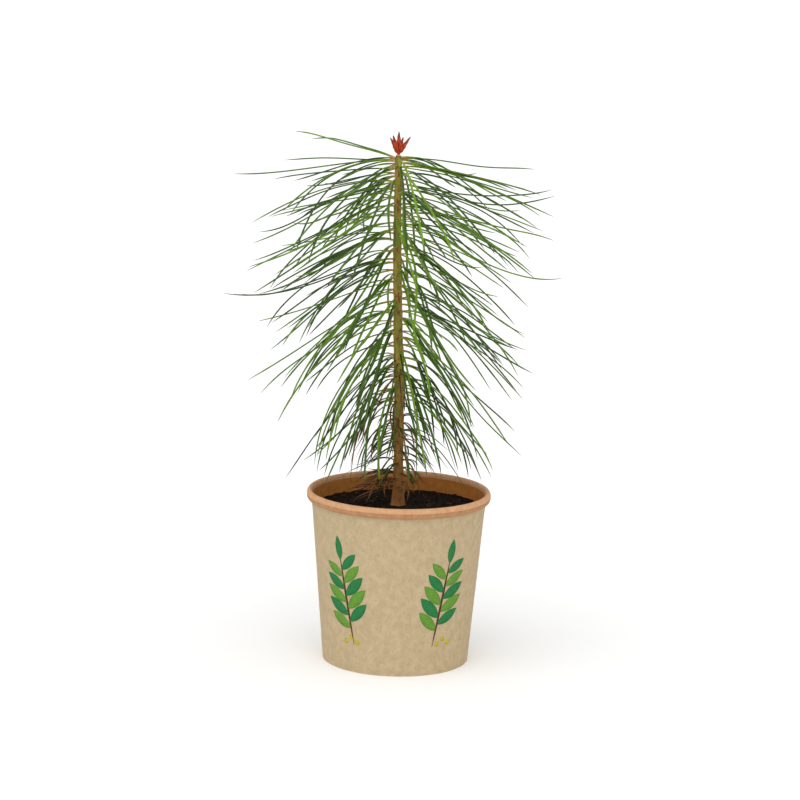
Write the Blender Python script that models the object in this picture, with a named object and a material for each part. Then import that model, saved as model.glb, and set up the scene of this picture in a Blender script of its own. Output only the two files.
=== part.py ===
"""A potted Scots pine sapling at its real size, in metres.

One upright, unbranched stem stands in a kraft-paper cup of compost. Long needles leave it in a
spiral, arch over and hang in tresses, short juvenile needles hang round its foot, and a cluster
of pointed buds closes its tip. The origin is the middle of the cup's underside, +Z is up, and
the front view looks along +Y.
"""

import math
import random

import bmesh
import bpy
import numpy as np

MM = 0.001
GAP = 0.3 * MM

# The cup: a tapered wall under an oval rolled rim
CUP_HEIGHT = 84.6 * MM
RIM_RADIUS = 45.0 * MM
FOOT_RADIUS = 35.7 * MM
BOARD = 0.6 * MM
ROLL_HALF_WIDTH = 1.45 * MM
ROLL_HALF_HEIGHT = 2.5 * MM
ROLL_START = -125.0
ROLL_END = 180.0
ROLL_POINTS = 9
BASE_THICKNESS = 0.9 * MM
CUP_SIDES = 40

# The compost
SOIL_LEVEL = 76.6 * MM
SOIL_EDGE_DROP = 0.9 * MM
SOIL_ROUGHNESS = 0.5 * MM
SOIL_RINGS = (1.0, 0.8, 0.55, 0.32)
SOIL_SIDES = 28
LEVEL_MARGIN = 2.0 * MM
SOIL_SEED = 3

# The stem, from its flat cut on the compost to the tip that carries the buds
STEM_FOOT = SOIL_LEVEL + GAP
STEM_TIP = 247.9 * MM
STEM_RADIUS = 2.25 * MM
STEM_THINNING = 0.9 * MM
THINNING_POWER = 2.5
FLARE = 1.6 * MM
FLARE_HEIGHT = 5.5 * MM
STEM_START_X = -0.4 * MM
STEM_LEAN_X = -3.7 * MM
STEM_LEAN_Y = -1.5 * MM
STEM_SWAY = 0.45 * MM
STEM_SIDES = 12
STEM_RINGS = 13
RING_CROWDING = 1.6

# The buds at the tip
BUD_RADIUS = 1.5 * MM
BUD_LENGTH = 11.4 * MM
SIDE_BUDS = 6
SIDE_BUD_RADIUS = 1.15 * MM
SIDE_BUD_LENGTH = 10.2 * MM
SIDE_BUD_TILT = 31.0
TILT_STEP = 3.0
SHORTER_STEP = 0.12
BUD_SIDES = 7
BUD_PROFILE = ((0.0, 0.6), (0.2, 0.98), (0.42, 0.95), (0.72, 0.5))

# The crown of long needles: where they root, and how they arch and settle
SEED = 7
CROWN_FOOT = 127.0 * MM
CROWN_TOP = 247.2 * MM
FASCICLES = 112
GOLDEN_ANGLE = 137.508
CROWDING = 1.25
NEEDLE_LENGTH = 80.0 * MM
SHORTEST = 0.62
LENGTH_POWER = 0.6
LOW_SHORTER = 0.82
FULL_LENGTH_ABOVE = 0.4
SLOPE_LOW = -71.0
SLOPE_HIGH = -24.0
SLOPE_POWER = 0.5
START_LOW = 2.0
START_HIGH = 5.0
ARCH = 12.0 * MM
CURL = -11.0
FLICK_SHARE = 0.07
FLICK = 32.0
SLOPE_SCATTER = 9.5
START_SCATTER = 9.0
SWEEP_SCATTER = 13.0
CURL_SCATTER = 13.0
HEADING_SHARE = 0.35
SWEEP_SHARE = 0.9
PAIR_SPREAD = 8.0
PAIR_NARROWEST = 0.4
PAIR_STEP = 0.8 * MM
PARTING = 16.0
FRONT = 270.0
TRIES = 12
PATH_STEPS = 24

# The masses: eight sectors of the crown, each in three tiers
SECTORS = 8
TIERS = ("lower", "middle", "top")
TRESS_SLOPE = 6.0
TRESS_TURN = 12.0
TRESS_PULL = 0.55
SPACE_MARGIN = 0.8 * MM
NEAR_STEM = 7.0 * MM
NEEDLE_RADIUS = 0.6 * MM
LOWEST_TIP = 89.0 * MM
BOUNDARY_LENGTH = 110.0 * MM
TINY = 1e-18

# The needles with the furthest tips, in millimetres and degrees: root height,
# turn about the stem, start slope, settled slope, curl and length
LEADERS = (
    (246.4, 140, 14, 8, -6, 66),
    (246.0, 186, 2, -12, 14, 77),
    (246.4, 22, 2, -6, -2, 70),
    (244.6, 340, 2, -12, -2, 71),
    (219.0, 352, -6, -42, 56, 84),
    (198.0, 186, 4, -30, 36, 84),
    (147.0, 174, -18, -52, -6, 80),
    (160.0, 5, -16, -54, 12, 84),
)

# The juvenile needles round the stem's foot
JUVENILES = 44
JUVENILE_FOOT = 84.0 * MM
JUVENILE_TOP = 122.0 * MM
JUVENILE_SECTORS = 4
JUVENILE_RADIUS = 0.33 * MM
JUVENILE_ARCH = 8.0 * MM
JUVENILE_SHORTEST = 13.0 * MM
JUVENILE_LONGEST = 30.0 * MM
JUVENILE_REACH = 30.0 * MM
JUVENILE_DROP = 1.3
JUVENILE_LOW = 0.8
JUVENILE_GAIN = 0.4
JUVENILE_TURN = 25.0
JUVENILE_SWEEP = 40.0
JUVENILE_START = (-10.0, 35.0)
JUVENILE_SLOPE = (-86.0, -48.0)
JUVENILE_CURL = 20.0
SOIL_CLEARANCE = 1.5 * MM

# The slim cushion on the stem that a mass's needles root in
CUSHION_DEPTH = 0.8 * MM
CUSHION_WIDTH = 1.3 * MM
CUSHION_END = 1.3 * MM
CUSHION_STEP = 12.0 * MM

NEEDLE_STOPS = (0.0, 0.11, 0.3, 0.62, 1.0)
NEEDLE_TAPER = (0.75, 1.0, 1.0, 0.8)
JUVENILE_STOPS = (0.0, 0.3, 0.62, 1.0)
JUVENILE_TAPER = (1.0, 1.0, 0.85)

# Colours, as red, green and blue from 0 to 255, and roughness
FINISHES = {
    "kraft_board": ((190, 162, 124), 0.85),
    "compost": ((38, 26, 18), 0.95),
    "green_bark": ((142, 118, 58), 0.75),
    "bud_scales": ((168, 72, 44), 0.6),
    "needles": ((74, 118, 42), 0.5),
    "juvenile_needles": ((112, 100, 52), 0.6),
}


def material(name):
    """The named finish as a Principled BSDF material, made once."""
    if name in bpy.data.materials:
        return bpy.data.materials[name]
    colour, roughness = FINISHES[name]
    made = bpy.data.materials.new(name)
    made.use_nodes = True
    shader = made.node_tree.nodes["Principled BSDF"]
    linear = [((c / 255 + 0.055) / 1.055) ** 2.4 for c in colour]
    shader.inputs["Base Color"].default_value = (*linear, 1.0)
    shader.inputs["Roughness"].default_value = roughness
    shader.inputs["Metallic"].default_value = 0.0
    return made


def add_object(name, form, finish):
    """An object made of the bmesh, with its faces out and its material."""
    bmesh.ops.recalc_face_normals(form, faces=form.faces)
    mesh = bpy.data.meshes.new(name)
    form.to_mesh(mesh)
    form.free()
    mesh.materials.append(material(finish))
    mesh.shade_smooth()
    mesh.set_sharp_from_angle(angle=math.radians(40))
    made = bpy.data.objects.new(name, mesh)
    bpy.context.scene.collection.objects.link(made)
    return made


def loft(rings, tip=None):
    """A closed bmesh through rings of points, capped at its ends or drawn to a tip."""
    form = bmesh.new()
    rows = [[form.verts.new(point) for point in ring] for ring in rings]
    for low, high in zip(rows, rows[1:]):
        for i in range(len(low)):
            j = (i + 1) % len(low)
            form.faces.new((low[i], low[j], high[j], high[i]))
    form.faces.new(rows[0][::-1])
    if tip is None:
        form.faces.new(rows[-1])
    else:
        point = form.verts.new(tip)
        for i in range(len(rows[-1])):
            form.faces.new((rows[-1][i], rows[-1][(i + 1) % len(rows[-1])], point))
    return form


def circle(centre, radius, height, sides):
    """A level ring of points."""
    turns = (2 * math.pi * i / sides for i in range(sides))
    return [(centre[0] + radius * math.cos(a), centre[1] + radius * math.sin(a), height) for a in turns]


def join(name, pieces):
    """One closed body from overlapping pieces, by a union of the first with a collection of the rest."""
    rest = bpy.data.collections.new(name + "_rest")
    bpy.context.scene.collection.children.link(rest)
    for piece in pieces[1:]:
        bpy.context.scene.collection.objects.unlink(piece)
        rest.objects.link(piece)
    body = pieces[0]
    body.name = name
    union = body.modifiers.new("join", "BOOLEAN")
    union.operation = "UNION"
    union.operand_type = "COLLECTION"
    union.collection = rest
    union.solver = "EXACT"
    graph = bpy.context.evaluated_depsgraph_get()
    joined = bpy.data.meshes.new_from_object(body.evaluated_get(graph))
    body.modifiers.clear()
    body.data = joined
    for piece in pieces[1:]:
        bpy.data.objects.remove(piece)
    bpy.data.collections.remove(rest)
    return body


def wall_outside(height):
    """Outer radius of the cup's wall at a height."""
    top = RIM_RADIUS - 2 * ROLL_HALF_WIDTH + BOARD
    return FOOT_RADIUS + (top - FOOT_RADIUS) * height / (CUP_HEIGHT - ROLL_HALF_HEIGHT)


def build_cup_wall():
    """The tapered wall and its rolled rim, one profile turned about the axis."""
    middle = (RIM_RADIUS - ROLL_HALF_WIDTH, CUP_HEIGHT - ROLL_HALF_HEIGHT)
    profile = [(FOOT_RADIUS, 0.0)]
    for i in range(ROLL_POINTS):
        turn = math.radians(ROLL_START + (ROLL_END - ROLL_START) * i / (ROLL_POINTS - 1))
        across = ROLL_HALF_WIDTH * math.cos(turn)
        profile.append((middle[0] + across, middle[1] + ROLL_HALF_HEIGHT * math.sin(turn)))
    profile.append((FOOT_RADIUS - BOARD, 0.0))
    form = bmesh.new()
    rings = [[form.verts.new(point) for point in circle((0, 0), r, z, CUP_SIDES)] for r, z in profile]
    for i, ring in enumerate(rings):
        following = rings[(i + 1) % len(rings)]
        for j in range(CUP_SIDES):
            k = (j + 1) % CUP_SIDES
            form.faces.new((ring[j], ring[k], following[k], following[j]))
    return add_object("cup_wall", form, "kraft_board")


def build_cup_base():
    """The flat disc that closes the cup's foot and that the plant stands on."""
    radius = FOOT_RADIUS - BOARD - GAP
    rings = [circle((0, 0), radius, height, CUP_SIDES) for height in (0.0, BASE_THICKNESS)]
    return add_object("cup_base", loft(rings), "kraft_board")


def build_soil():
    """The compost: it fills the cup and ends in an uneven top, level only under the stem."""
    noise = random.Random(SOIL_SEED)
    low = BASE_THICKNESS + GAP
    edge = SOIL_LEVEL - SOIL_EDGE_DROP
    inset = BOARD + GAP
    rings = [circle((0, 0), wall_outside(low) - inset, low, SOIL_SIDES)]
    for share in SOIL_RINGS:
        height = SOIL_LEVEL - SOIL_EDGE_DROP * share
        ring = circle((0, 0), (wall_outside(edge) - inset) * share, height, SOIL_SIDES)
        rings.append([(x, y, z + noise.uniform(-1, 0) * SOIL_ROUGHNESS) for x, y, z in ring])
    rings.append(circle((0, 0), STEM_RADIUS + FLARE + LEVEL_MARGIN, SOIL_LEVEL, SOIL_SIDES))
    return add_object("soil", loft(rings), "compost")


def up_the_stem(height):
    """Share of the stem's height, 0 on the compost and 1 at its tip."""
    return min(max((height - SOIL_LEVEL) / (STEM_TIP - SOIL_LEVEL), 0.0), 1.0)


def stem_centre(height):
    """Where the leaning, slightly swaying stem's middle is at a height."""
    up = up_the_stem(height)
    return (STEM_START_X + STEM_LEAN_X * up + STEM_SWAY * math.sin(2 * math.pi * up), STEM_LEAN_Y * up)


def stem_radius(height):
    """The stem's radius: it thins towards its tip and flares at its foot."""
    flare = FLARE * math.exp(-max(height - SOIL_LEVEL, 0.0) / FLARE_HEIGHT)
    return STEM_RADIUS - STEM_THINNING * up_the_stem(height) ** THINNING_POWER + flare


def build_stem():
    """The whole stem, closer rings where it flares."""
    rings = []
    for i in range(STEM_RINGS):
        height = STEM_FOOT + (STEM_TIP - STEM_FOOT) * (i / (STEM_RINGS - 1)) ** RING_CROWDING
        rings.append(circle(stem_centre(height), stem_radius(height), height, STEM_SIDES))
    return add_object("stem", loft(rings), "green_bark")


def bud(name, radius, length, turn, tilt):
    """One pointed bud that stands on the stem's tip, tilted outwards."""
    centre = stem_centre(STEM_TIP)
    foot = np.array((centre[0], centre[1], STEM_TIP + GAP))
    out = np.array((math.cos(turn), math.sin(turn), 0.0))
    side = np.array((-math.sin(turn), math.cos(turn), 0.0))
    axis = out * math.sin(tilt) + np.array((0, 0, 1.0)) * math.cos(tilt)
    across = np.cross(side, axis)
    start = foot + np.array((0, 0, radius * math.sin(tilt)))
    rings = []
    for share, width in BUD_PROFILE:
        turns = (2 * math.pi * i / BUD_SIDES for i in range(BUD_SIDES))
        middle = start + axis * length * share
        rings.append([middle + width * radius * (across * math.cos(a) + side * math.sin(a)) for a in turns])
    return add_object(name, loft(rings, start + axis * length), "bud_scales")


def build_buds():
    """The terminal bud and the side buds round it, fused at their feet."""
    pieces = [bud("terminal_bud", BUD_RADIUS, BUD_LENGTH, 0.0, 0.0)]
    for i in range(SIDE_BUDS):
        shorter = 1.0 - SHORTER_STEP * (i % 2)
        tilt = math.radians(SIDE_BUD_TILT + (TILT_STEP if i % 2 == 0 else -TILT_STEP))
        turn = 2 * math.pi * i / SIDE_BUDS
        pieces.append(bud(f"side_bud_{i}", SIDE_BUD_RADIUS, SIDE_BUD_LENGTH * shorter, turn, tilt))
    return join("bud_cluster", pieces)


def up_the_crown(height):
    """Share of the crown's height that a needle roots at."""
    return min(max((height - CROWN_FOOT) / (CROWN_TOP - CROWN_FOOT), 0.0), 1.0)


def usual_slope(up):
    """The slope that needles rooted there settle to, in degrees above level."""
    return SLOPE_LOW + (SLOPE_HIGH - SLOPE_LOW) * up**SLOPE_POWER


def usual_start(up):
    """The slope that needles rooted there leave the stem at."""
    return START_LOW + (START_HIGH - START_LOW) * up


def needle_path(root, heading, sweep, start, slope, curl, length, arch=ARCH):
    """Points along a needle: it leaves at one slope, arches to another, and curls towards its tip."""
    share = (np.arange(PATH_STEPS) + 0.5) / PATH_STEPS
    pitch = np.radians(slope + (start - slope) * np.exp(-share * length / arch) + curl * share**2)
    turn = np.radians(heading + sweep * share)
    steps = np.stack([np.cos(pitch) * np.cos(turn), np.cos(pitch) * np.sin(turn), np.sin(pitch)], axis=1)
    return np.vstack([[root], np.asarray(root) + np.cumsum(steps * length / PATH_STEPS, axis=0)])


def cushion_point(turn, height):
    """The middle of the cushion at that turn about the stem."""
    centre = stem_centre(height)
    radius = stem_radius(height) + GAP + CUSHION_DEPTH / 2
    return (centre[0] + radius * math.cos(turn), centre[1] + radius * math.sin(turn), height)


def boundaries():
    """The drooping surfaces between tiers, each as distances from the stem and heights."""
    found = []
    for tier in range(1, len(TIERS)):
        up = tier / len(TIERS)
        height = CROWN_FOOT + (CROWN_TOP - CROWN_FOOT) * up
        root = (stem_radius(height), 0.0, height)
        line = needle_path(root, 0.0, 0.0, usual_start(up), usual_slope(up), CURL, BOUNDARY_LENGTH)
        found.append((line[:, 0], line[:, 2]))
    return found


def from_stem(path):
    """Distance from the stem and turn about it, in degrees, of each point of a path."""
    centres = np.array([stem_centre(height) for height in path[:, 2]])
    away = path[:, :2] - centres
    return np.hypot(away[:, 0], away[:, 1]), np.degrees(np.arctan2(away[:, 1], away[:, 0]))


def in_sector(path, sector, sectors):
    """Whether a path keeps to its sector once it is away from the stem."""
    distance, turn = from_stem(path)
    width = 360.0 / sectors
    off_middle = np.abs((turn - (sector + 0.5) * width + 180) % 360 - 180)
    to_side = distance * np.sin(np.radians(width / 2 - off_middle))
    return not (to_side[distance > NEAR_STEM] < SPACE_MARGIN).any()


def in_tier(path, tier, surfaces):
    """Whether a path keeps between the surfaces under and over its tier."""
    distance, _ = from_stem(path)
    far = distance > NEAR_STEM
    height = path[far, 2]
    if tier < len(surfaces):
        roof = np.interp(distance[far], *surfaces[tier])
        if (height > roof - SPACE_MARGIN).any():
            return False
    if tier > 0:
        floor = np.interp(distance[far], *surfaces[tier - 1])
        if (height < floor + SPACE_MARGIN).any():
            return False
    return path[:, 2].min() > LOWEST_TIP


def is_clear(path, radius, placed):
    """Whether a path stays a gap away from the needles placed in other masses."""
    if not placed:
        return True
    start = path[:-1, None]
    along = (path[1:] - path[:-1])[:, None]
    other = np.array([segment for segment, _ in placed])[None]
    other_start, other_along = other[:, :, 0], other[:, :, 1] - other[:, :, 0]
    between = start - other_start
    a = (along * along).sum(-1)
    b = (along * other_along).sum(-1)
    c = (along * between).sum(-1)
    e = (other_along * other_along).sum(-1)
    f = (other_along * between).sum(-1)
    s = np.clip((b * f - c * e) / np.maximum(a * e - b * b, TINY), 0, 1)
    t = np.clip((b * s + f) / e, 0, 1)
    s = np.clip((b * t - c) / a, 0, 1)
    nearest = np.linalg.norm(between + s[..., None] * along - t[..., None] * other_along, axis=-1)
    needed = radius + GAP + np.array([other_radius for _, other_radius in placed])
    return bool((nearest >= needed).all())


def coarse(path, stops):
    """The points of a path that its solid goes through."""
    return path[[round(stop * PATH_STEPS) for stop in stops]]


class Crown:
    """The needles accepted so far, by mass, and the draws that place them."""

    def __init__(self):
        self.masses = {}
        self.placed = {}
        self.surfaces = boundaries()
        self.draw = random.Random(SEED)

    def accept(self, mass, path, stops, radius):
        """Keeps the needle if it clears those of every other mass."""
        points = coarse(path, stops)
        others = [item for name, items in self.placed.items() if name != mass for item in items]
        if not is_clear(points, radius, others):
            return False
        self.masses.setdefault(mass, []).append((points, radius))
        segments = [((a, b), radius) for a, b in zip(points, points[1:])]
        self.placed.setdefault(mass, []).extend(segments)
        return True

    def grow_leaders(self):
        """The few needles that reach furthest, placed before the rest."""
        for height, turn, start, slope, curl, length in LEADERS:
            sector = int(turn // (360 / SECTORS))
            tier = min(int(up_the_crown(height * MM) * len(TIERS)), len(TIERS) - 1)
            middle = math.radians((sector + 0.5) * 360 / SECTORS)
            root = cushion_point(middle, height * MM)
            path = needle_path(root, turn, 0.0, start, slope, curl, length * MM)
            self.accept(f"needles_{TIERS[tier]}_{sector + 1}", path, NEEDLE_STOPS, NEEDLE_RADIUS)

    def tress_of(self):
        """For each mass, the slope and turn that its needles are drawn towards."""
        return {
            (sector, tier): (self.draw.uniform(-1, 1) * TRESS_SLOPE, self.draw.uniform(-1, 1) * TRESS_TURN)
            for sector in range(SECTORS)
            for tier in range(len(TIERS))
        }

    def grow_long_needles(self):
        """Pairs of needles in a spiral down the stem, each drawn again while it leaves its space."""
        tresses = self.tress_of()
        width = 360.0 / SECTORS
        for k in range(FASCICLES):
            height = CROWN_TOP - (CROWN_TOP - CROWN_FOOT) * ((k + 0.5) / FASCICLES) ** CROWDING
            turn = (k * GOLDEN_ANGLE) % 360.0
            off_front = (turn - FRONT + 180) % 360 - 180
            if abs(off_front) < 90:
                turn = (turn + PARTING * math.sin(math.radians(2 * off_front))) % 360
            sector = int(turn // width) % SECTORS
            up = up_the_crown(height)
            tier = min(int(up * len(TIERS)), len(TIERS) - 1)
            for hand in (1, -1):
                for _ in range(TRIES):
                    path = self.long_needle(turn, height, up, sector, tresses[sector, tier], hand)
                    keeps = in_sector(path, sector, SECTORS) and in_tier(path, tier, self.surfaces)
                    mass = f"needles_{TIERS[tier]}_{sector + 1}"
                    if keeps and self.accept(mass, path, NEEDLE_STOPS, NEEDLE_RADIUS):
                        break

    def long_needle(self, turn, height, up, sector, tress, hand):
        """The path of one drawn needle."""
        draw = self.draw
        middle = (sector + 0.5) * 360.0 / SECTORS
        slope = usual_slope(up) + tress[0] + draw.gauss(0, SLOPE_SCATTER)
        start = usual_start(up) + draw.gauss(0, START_SCATTER)
        to_tress = (middle + tress[1] - turn + 180) % 360 - 180
        spread = hand * PAIR_SPREAD * draw.uniform(PAIR_NARROWEST, 1)
        heading = turn + HEADING_SHARE * TRESS_PULL * to_tress + spread
        sweep = SWEEP_SHARE * TRESS_PULL * to_tress + draw.gauss(0, SWEEP_SCATTER)
        curl = draw.gauss(CURL, CURL_SCATTER) + (FLICK if draw.random() < FLICK_SHARE else 0.0)
        share = SHORTEST + (1 - SHORTEST) * draw.random() ** LENGTH_POWER
        low = LOW_SHORTER + (1 - LOW_SHORTER) * min(1.0, up / FULL_LENGTH_ABOVE)
        length = NEEDLE_LENGTH * share * low
        root = cushion_point(math.radians(middle), height + hand * PAIR_STEP)
        return needle_path(root, heading, sweep, start, slope, curl, length)

    def grow_juveniles(self):
        """The short needles that hang about the stem's foot."""
        draw = self.draw
        width = 360.0 / JUVENILE_SECTORS
        for k in range(JUVENILES):
            up = (k + 0.5) / JUVENILES
            height = JUVENILE_FOOT + (JUVENILE_TOP - JUVENILE_FOOT) * up
            turn = (k * GOLDEN_ANGLE) % 360.0
            sector = int(turn // width)
            middle = math.radians((sector + 0.5) * width)
            for _ in range(TRIES):
                longest = min(JUVENILE_LONGEST, JUVENILE_DROP * (height - SOIL_LEVEL))
                length = draw.uniform(min(JUVENILE_SHORTEST, longest), longest)
                length *= JUVENILE_LOW + JUVENILE_GAIN * up
                path = needle_path(
                    cushion_point(middle, height),
                    turn + draw.uniform(-JUVENILE_TURN, JUVENILE_TURN),
                    draw.gauss(0, JUVENILE_SWEEP),
                    draw.uniform(*JUVENILE_START),
                    draw.uniform(*JUVENILE_SLOPE),
                    draw.gauss(0, JUVENILE_CURL),
                    length,
                    JUVENILE_ARCH,
                )
                distance, _turn = from_stem(path)
                clear = path[:, 2].min() > SOIL_LEVEL + SOIL_CLEARANCE and distance.max() < JUVENILE_REACH
                keeps = clear and in_sector(path, sector, JUVENILE_SECTORS)
                mass = f"juvenile_needles_{sector + 1}"
                if keeps and self.accept(mass, path, JUVENILE_STOPS, JUVENILE_RADIUS):
                    break


def needle_solid(name, points, radius, finish, taper):
    """A three-sided needle through the points, drawn out to its tip."""
    rings = []
    for i, point in enumerate(points[:-1]):
        along = points[i + 1] - points[max(i - 1, 0)]
        along = along / np.linalg.norm(along)
        side = np.cross((0.0, 0.0, 1.0), along)
        side = side / np.linalg.norm(side)
        over = np.cross(along, side)
        turns = (math.radians(30 + 120 * corner) for corner in range(3))
        width = radius * taper[i]
        rings.append([point + width * (side * math.cos(a) + over * math.sin(a)) for a in turns])
    return add_object(name, loft(rings, points[-1]), finish)


def cushion(name, turn, low, high, finish):
    """The slim strip that hugs the stem between two heights."""
    count = max(2, round((high - low) / CUSHION_STEP) + 1)
    out = np.array((math.cos(turn), math.sin(turn), 0.0)) * CUSHION_DEPTH / 2
    side = np.array((-math.sin(turn), math.cos(turn), 0.0)) * CUSHION_WIDTH / 2
    rings = []
    for i in range(count):
        middle = np.array(cushion_point(turn, low + (high - low) * i / (count - 1)))
        rings.append([middle - out - side, middle + out - side, middle + out + side, middle - out + side])
    return add_object(name, loft(rings), finish)


def build_mass(name, needles):
    """One mass: its cushion with all its needles fused on."""
    juvenile = name.startswith("juvenile")
    sectors = JUVENILE_SECTORS if juvenile else SECTORS
    finish = "juvenile_needles" if juvenile else "needles"
    taper = JUVENILE_TAPER if juvenile else NEEDLE_TAPER
    sector = int(name.split("_")[-1]) - 1
    turn = math.radians((sector + 0.5) * 360.0 / sectors)
    roots = [points[0][2] for points, _ in needles]
    pieces = [cushion(name, turn, min(roots) - CUSHION_END, max(roots) + CUSHION_END, finish)]
    for i, (points, radius) in enumerate(needles):
        pieces.append(needle_solid(f"{name}_needle_{i}", points, radius, finish, taper))
    return join(name, pieces)


def main():
    """Clears the scene and builds the cup, the compost, the stem, the buds and the masses."""
    for old in list(bpy.data.objects):
        bpy.data.objects.remove(old)
    build_cup_wall()
    build_cup_base()
    build_soil()
    build_stem()
    build_buds()
    crown = Crown()
    crown.grow_leaders()
    crown.grow_long_needles()
    crown.grow_juveniles()
    for name, needles in sorted(crown.masses.items()):
        build_mass(name, needles)


main()
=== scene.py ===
"""Looks of a potted Scots pine sapling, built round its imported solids.

The long needles, their sheaths, the bark, the buds, the compost and the kraft-paper cup are each
modelled here at their real size, in metres. The needles follow the same seeded rule as the solids,
carried to finer curves, and every piece rides on the one body.
"""

from __future__ import annotations

import logging
import math
import random
from collections.abc import Iterable, Mapping, Sequence
from dataclasses import dataclass, field
from enum import Enum
from functools import partial

import bmesh
import bpy
import numpy as np
from mathutils import Matrix, Vector, noise

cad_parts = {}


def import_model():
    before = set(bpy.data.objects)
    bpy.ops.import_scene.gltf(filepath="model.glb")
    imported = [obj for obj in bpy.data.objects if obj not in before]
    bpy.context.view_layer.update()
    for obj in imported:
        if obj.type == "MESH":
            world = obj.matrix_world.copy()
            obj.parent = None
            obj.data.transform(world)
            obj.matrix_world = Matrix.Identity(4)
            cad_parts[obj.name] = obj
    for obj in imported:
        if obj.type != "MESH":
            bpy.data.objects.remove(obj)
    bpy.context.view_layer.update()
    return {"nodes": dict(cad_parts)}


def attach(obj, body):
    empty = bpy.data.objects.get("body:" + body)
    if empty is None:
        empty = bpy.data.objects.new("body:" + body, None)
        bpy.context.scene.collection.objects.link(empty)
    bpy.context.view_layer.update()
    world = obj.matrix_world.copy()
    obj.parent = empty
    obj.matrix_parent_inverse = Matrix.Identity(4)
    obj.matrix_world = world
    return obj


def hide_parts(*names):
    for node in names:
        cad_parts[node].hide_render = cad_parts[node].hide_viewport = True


LOG = logging.getLogger("sapling")
MM = 0.001
BODY = "root"
Points = np.ndarray
Point = tuple[float, float, float]
Pair = tuple[float, float]
Colour = tuple[float, float, float, float]
Tree = bpy.types.NodeTree
Socket = bpy.types.NodeSocket
Piece = bpy.types.Object
BLACK, WHITE = (0.0, 0.0, 0.0, 1.0), (1.0, 1.0, 1.0, 1.0)
# Octaves of each kind of noise, and how far most of a noise's values lie from their middle
MOTTLE_DETAIL, RELIEF_DETAIL, FLECK_DETAIL = 5.0, 3.0, 2.0
NOISE_SPREAD = 0.3
# Keeps a division from being by nought where two lines run side by side
NEAR_ZERO = 1e-18


def linear(hex_colour: str) -> Colour:
    """Turns an sRGB hex colour into the linear colour a shader takes.

    Args:
        hex_colour: Six hex digits, such as "B99B6B".

    Returns:
        Linear red, green, blue and an alpha of 1.
    """
    parts = [int(hex_colour[i : i + 2], 16) / 255 for i in (0, 2, 4)]
    red, green, blue = (p / 12.92 if p <= 0.04045 else ((p + 0.055) / 1.055) ** 2.4 for p in parts)
    return (red, green, blue, 1.0)


def add_node(
    tree: Tree, kind: str, inputs: Mapping[str | int, object] | None = None, **settings: object
) -> bpy.types.Node:
    """Adds a node with its settings, values and links.

    Args:
        tree: The tree it goes in.
        kind: The node's type name.
        inputs: For each input, a value or the output socket that feeds it.
        **settings: The node's own properties.

    Returns:
        The new node.
    """
    node = tree.nodes.new(kind)
    for name, value in settings.items():
        setattr(node, name, value)
    for key, value in (inputs or {}).items():
        if isinstance(value, bpy.types.NodeSocket):
            tree.links.new(value, node.inputs[key])
        else:
            node.inputs[key].default_value = value
    return node


def add_noise(tree: Tree, place: Socket, grain: float, detail: float) -> Socket:
    """Adds a noise whose grain has a real size, and returns its value."""
    found = add_node(tree, "ShaderNodeTexNoise", {"Vector": place, "Scale": 1.0 / grain, "Detail": detail})
    return found.outputs["Fac"]


def add_ramp(tree: Tree, share: Socket, stops: Iterable[tuple[float, Colour]]) -> Socket:
    """Adds a ramp between two colours, each at its place, and returns its colour."""
    ramp = add_node(tree, "ShaderNodeValToRGB", {"Fac": share})
    for element, (position, colour) in zip(ramp.color_ramp.elements, stops):
        element.position = position
        element.color = colour
    return ramp.outputs["Color"]


def add_mix(tree: Tree, share: Socket, under: Socket, over: Colour) -> Socket:
    """Lays a colour over another by a share, and returns the mixture."""
    mixed = add_node(tree, "ShaderNodeMixRGB", {"Fac": share, "Color1": under, "Color2": over})
    return mixed.outputs["Color"]


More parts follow.
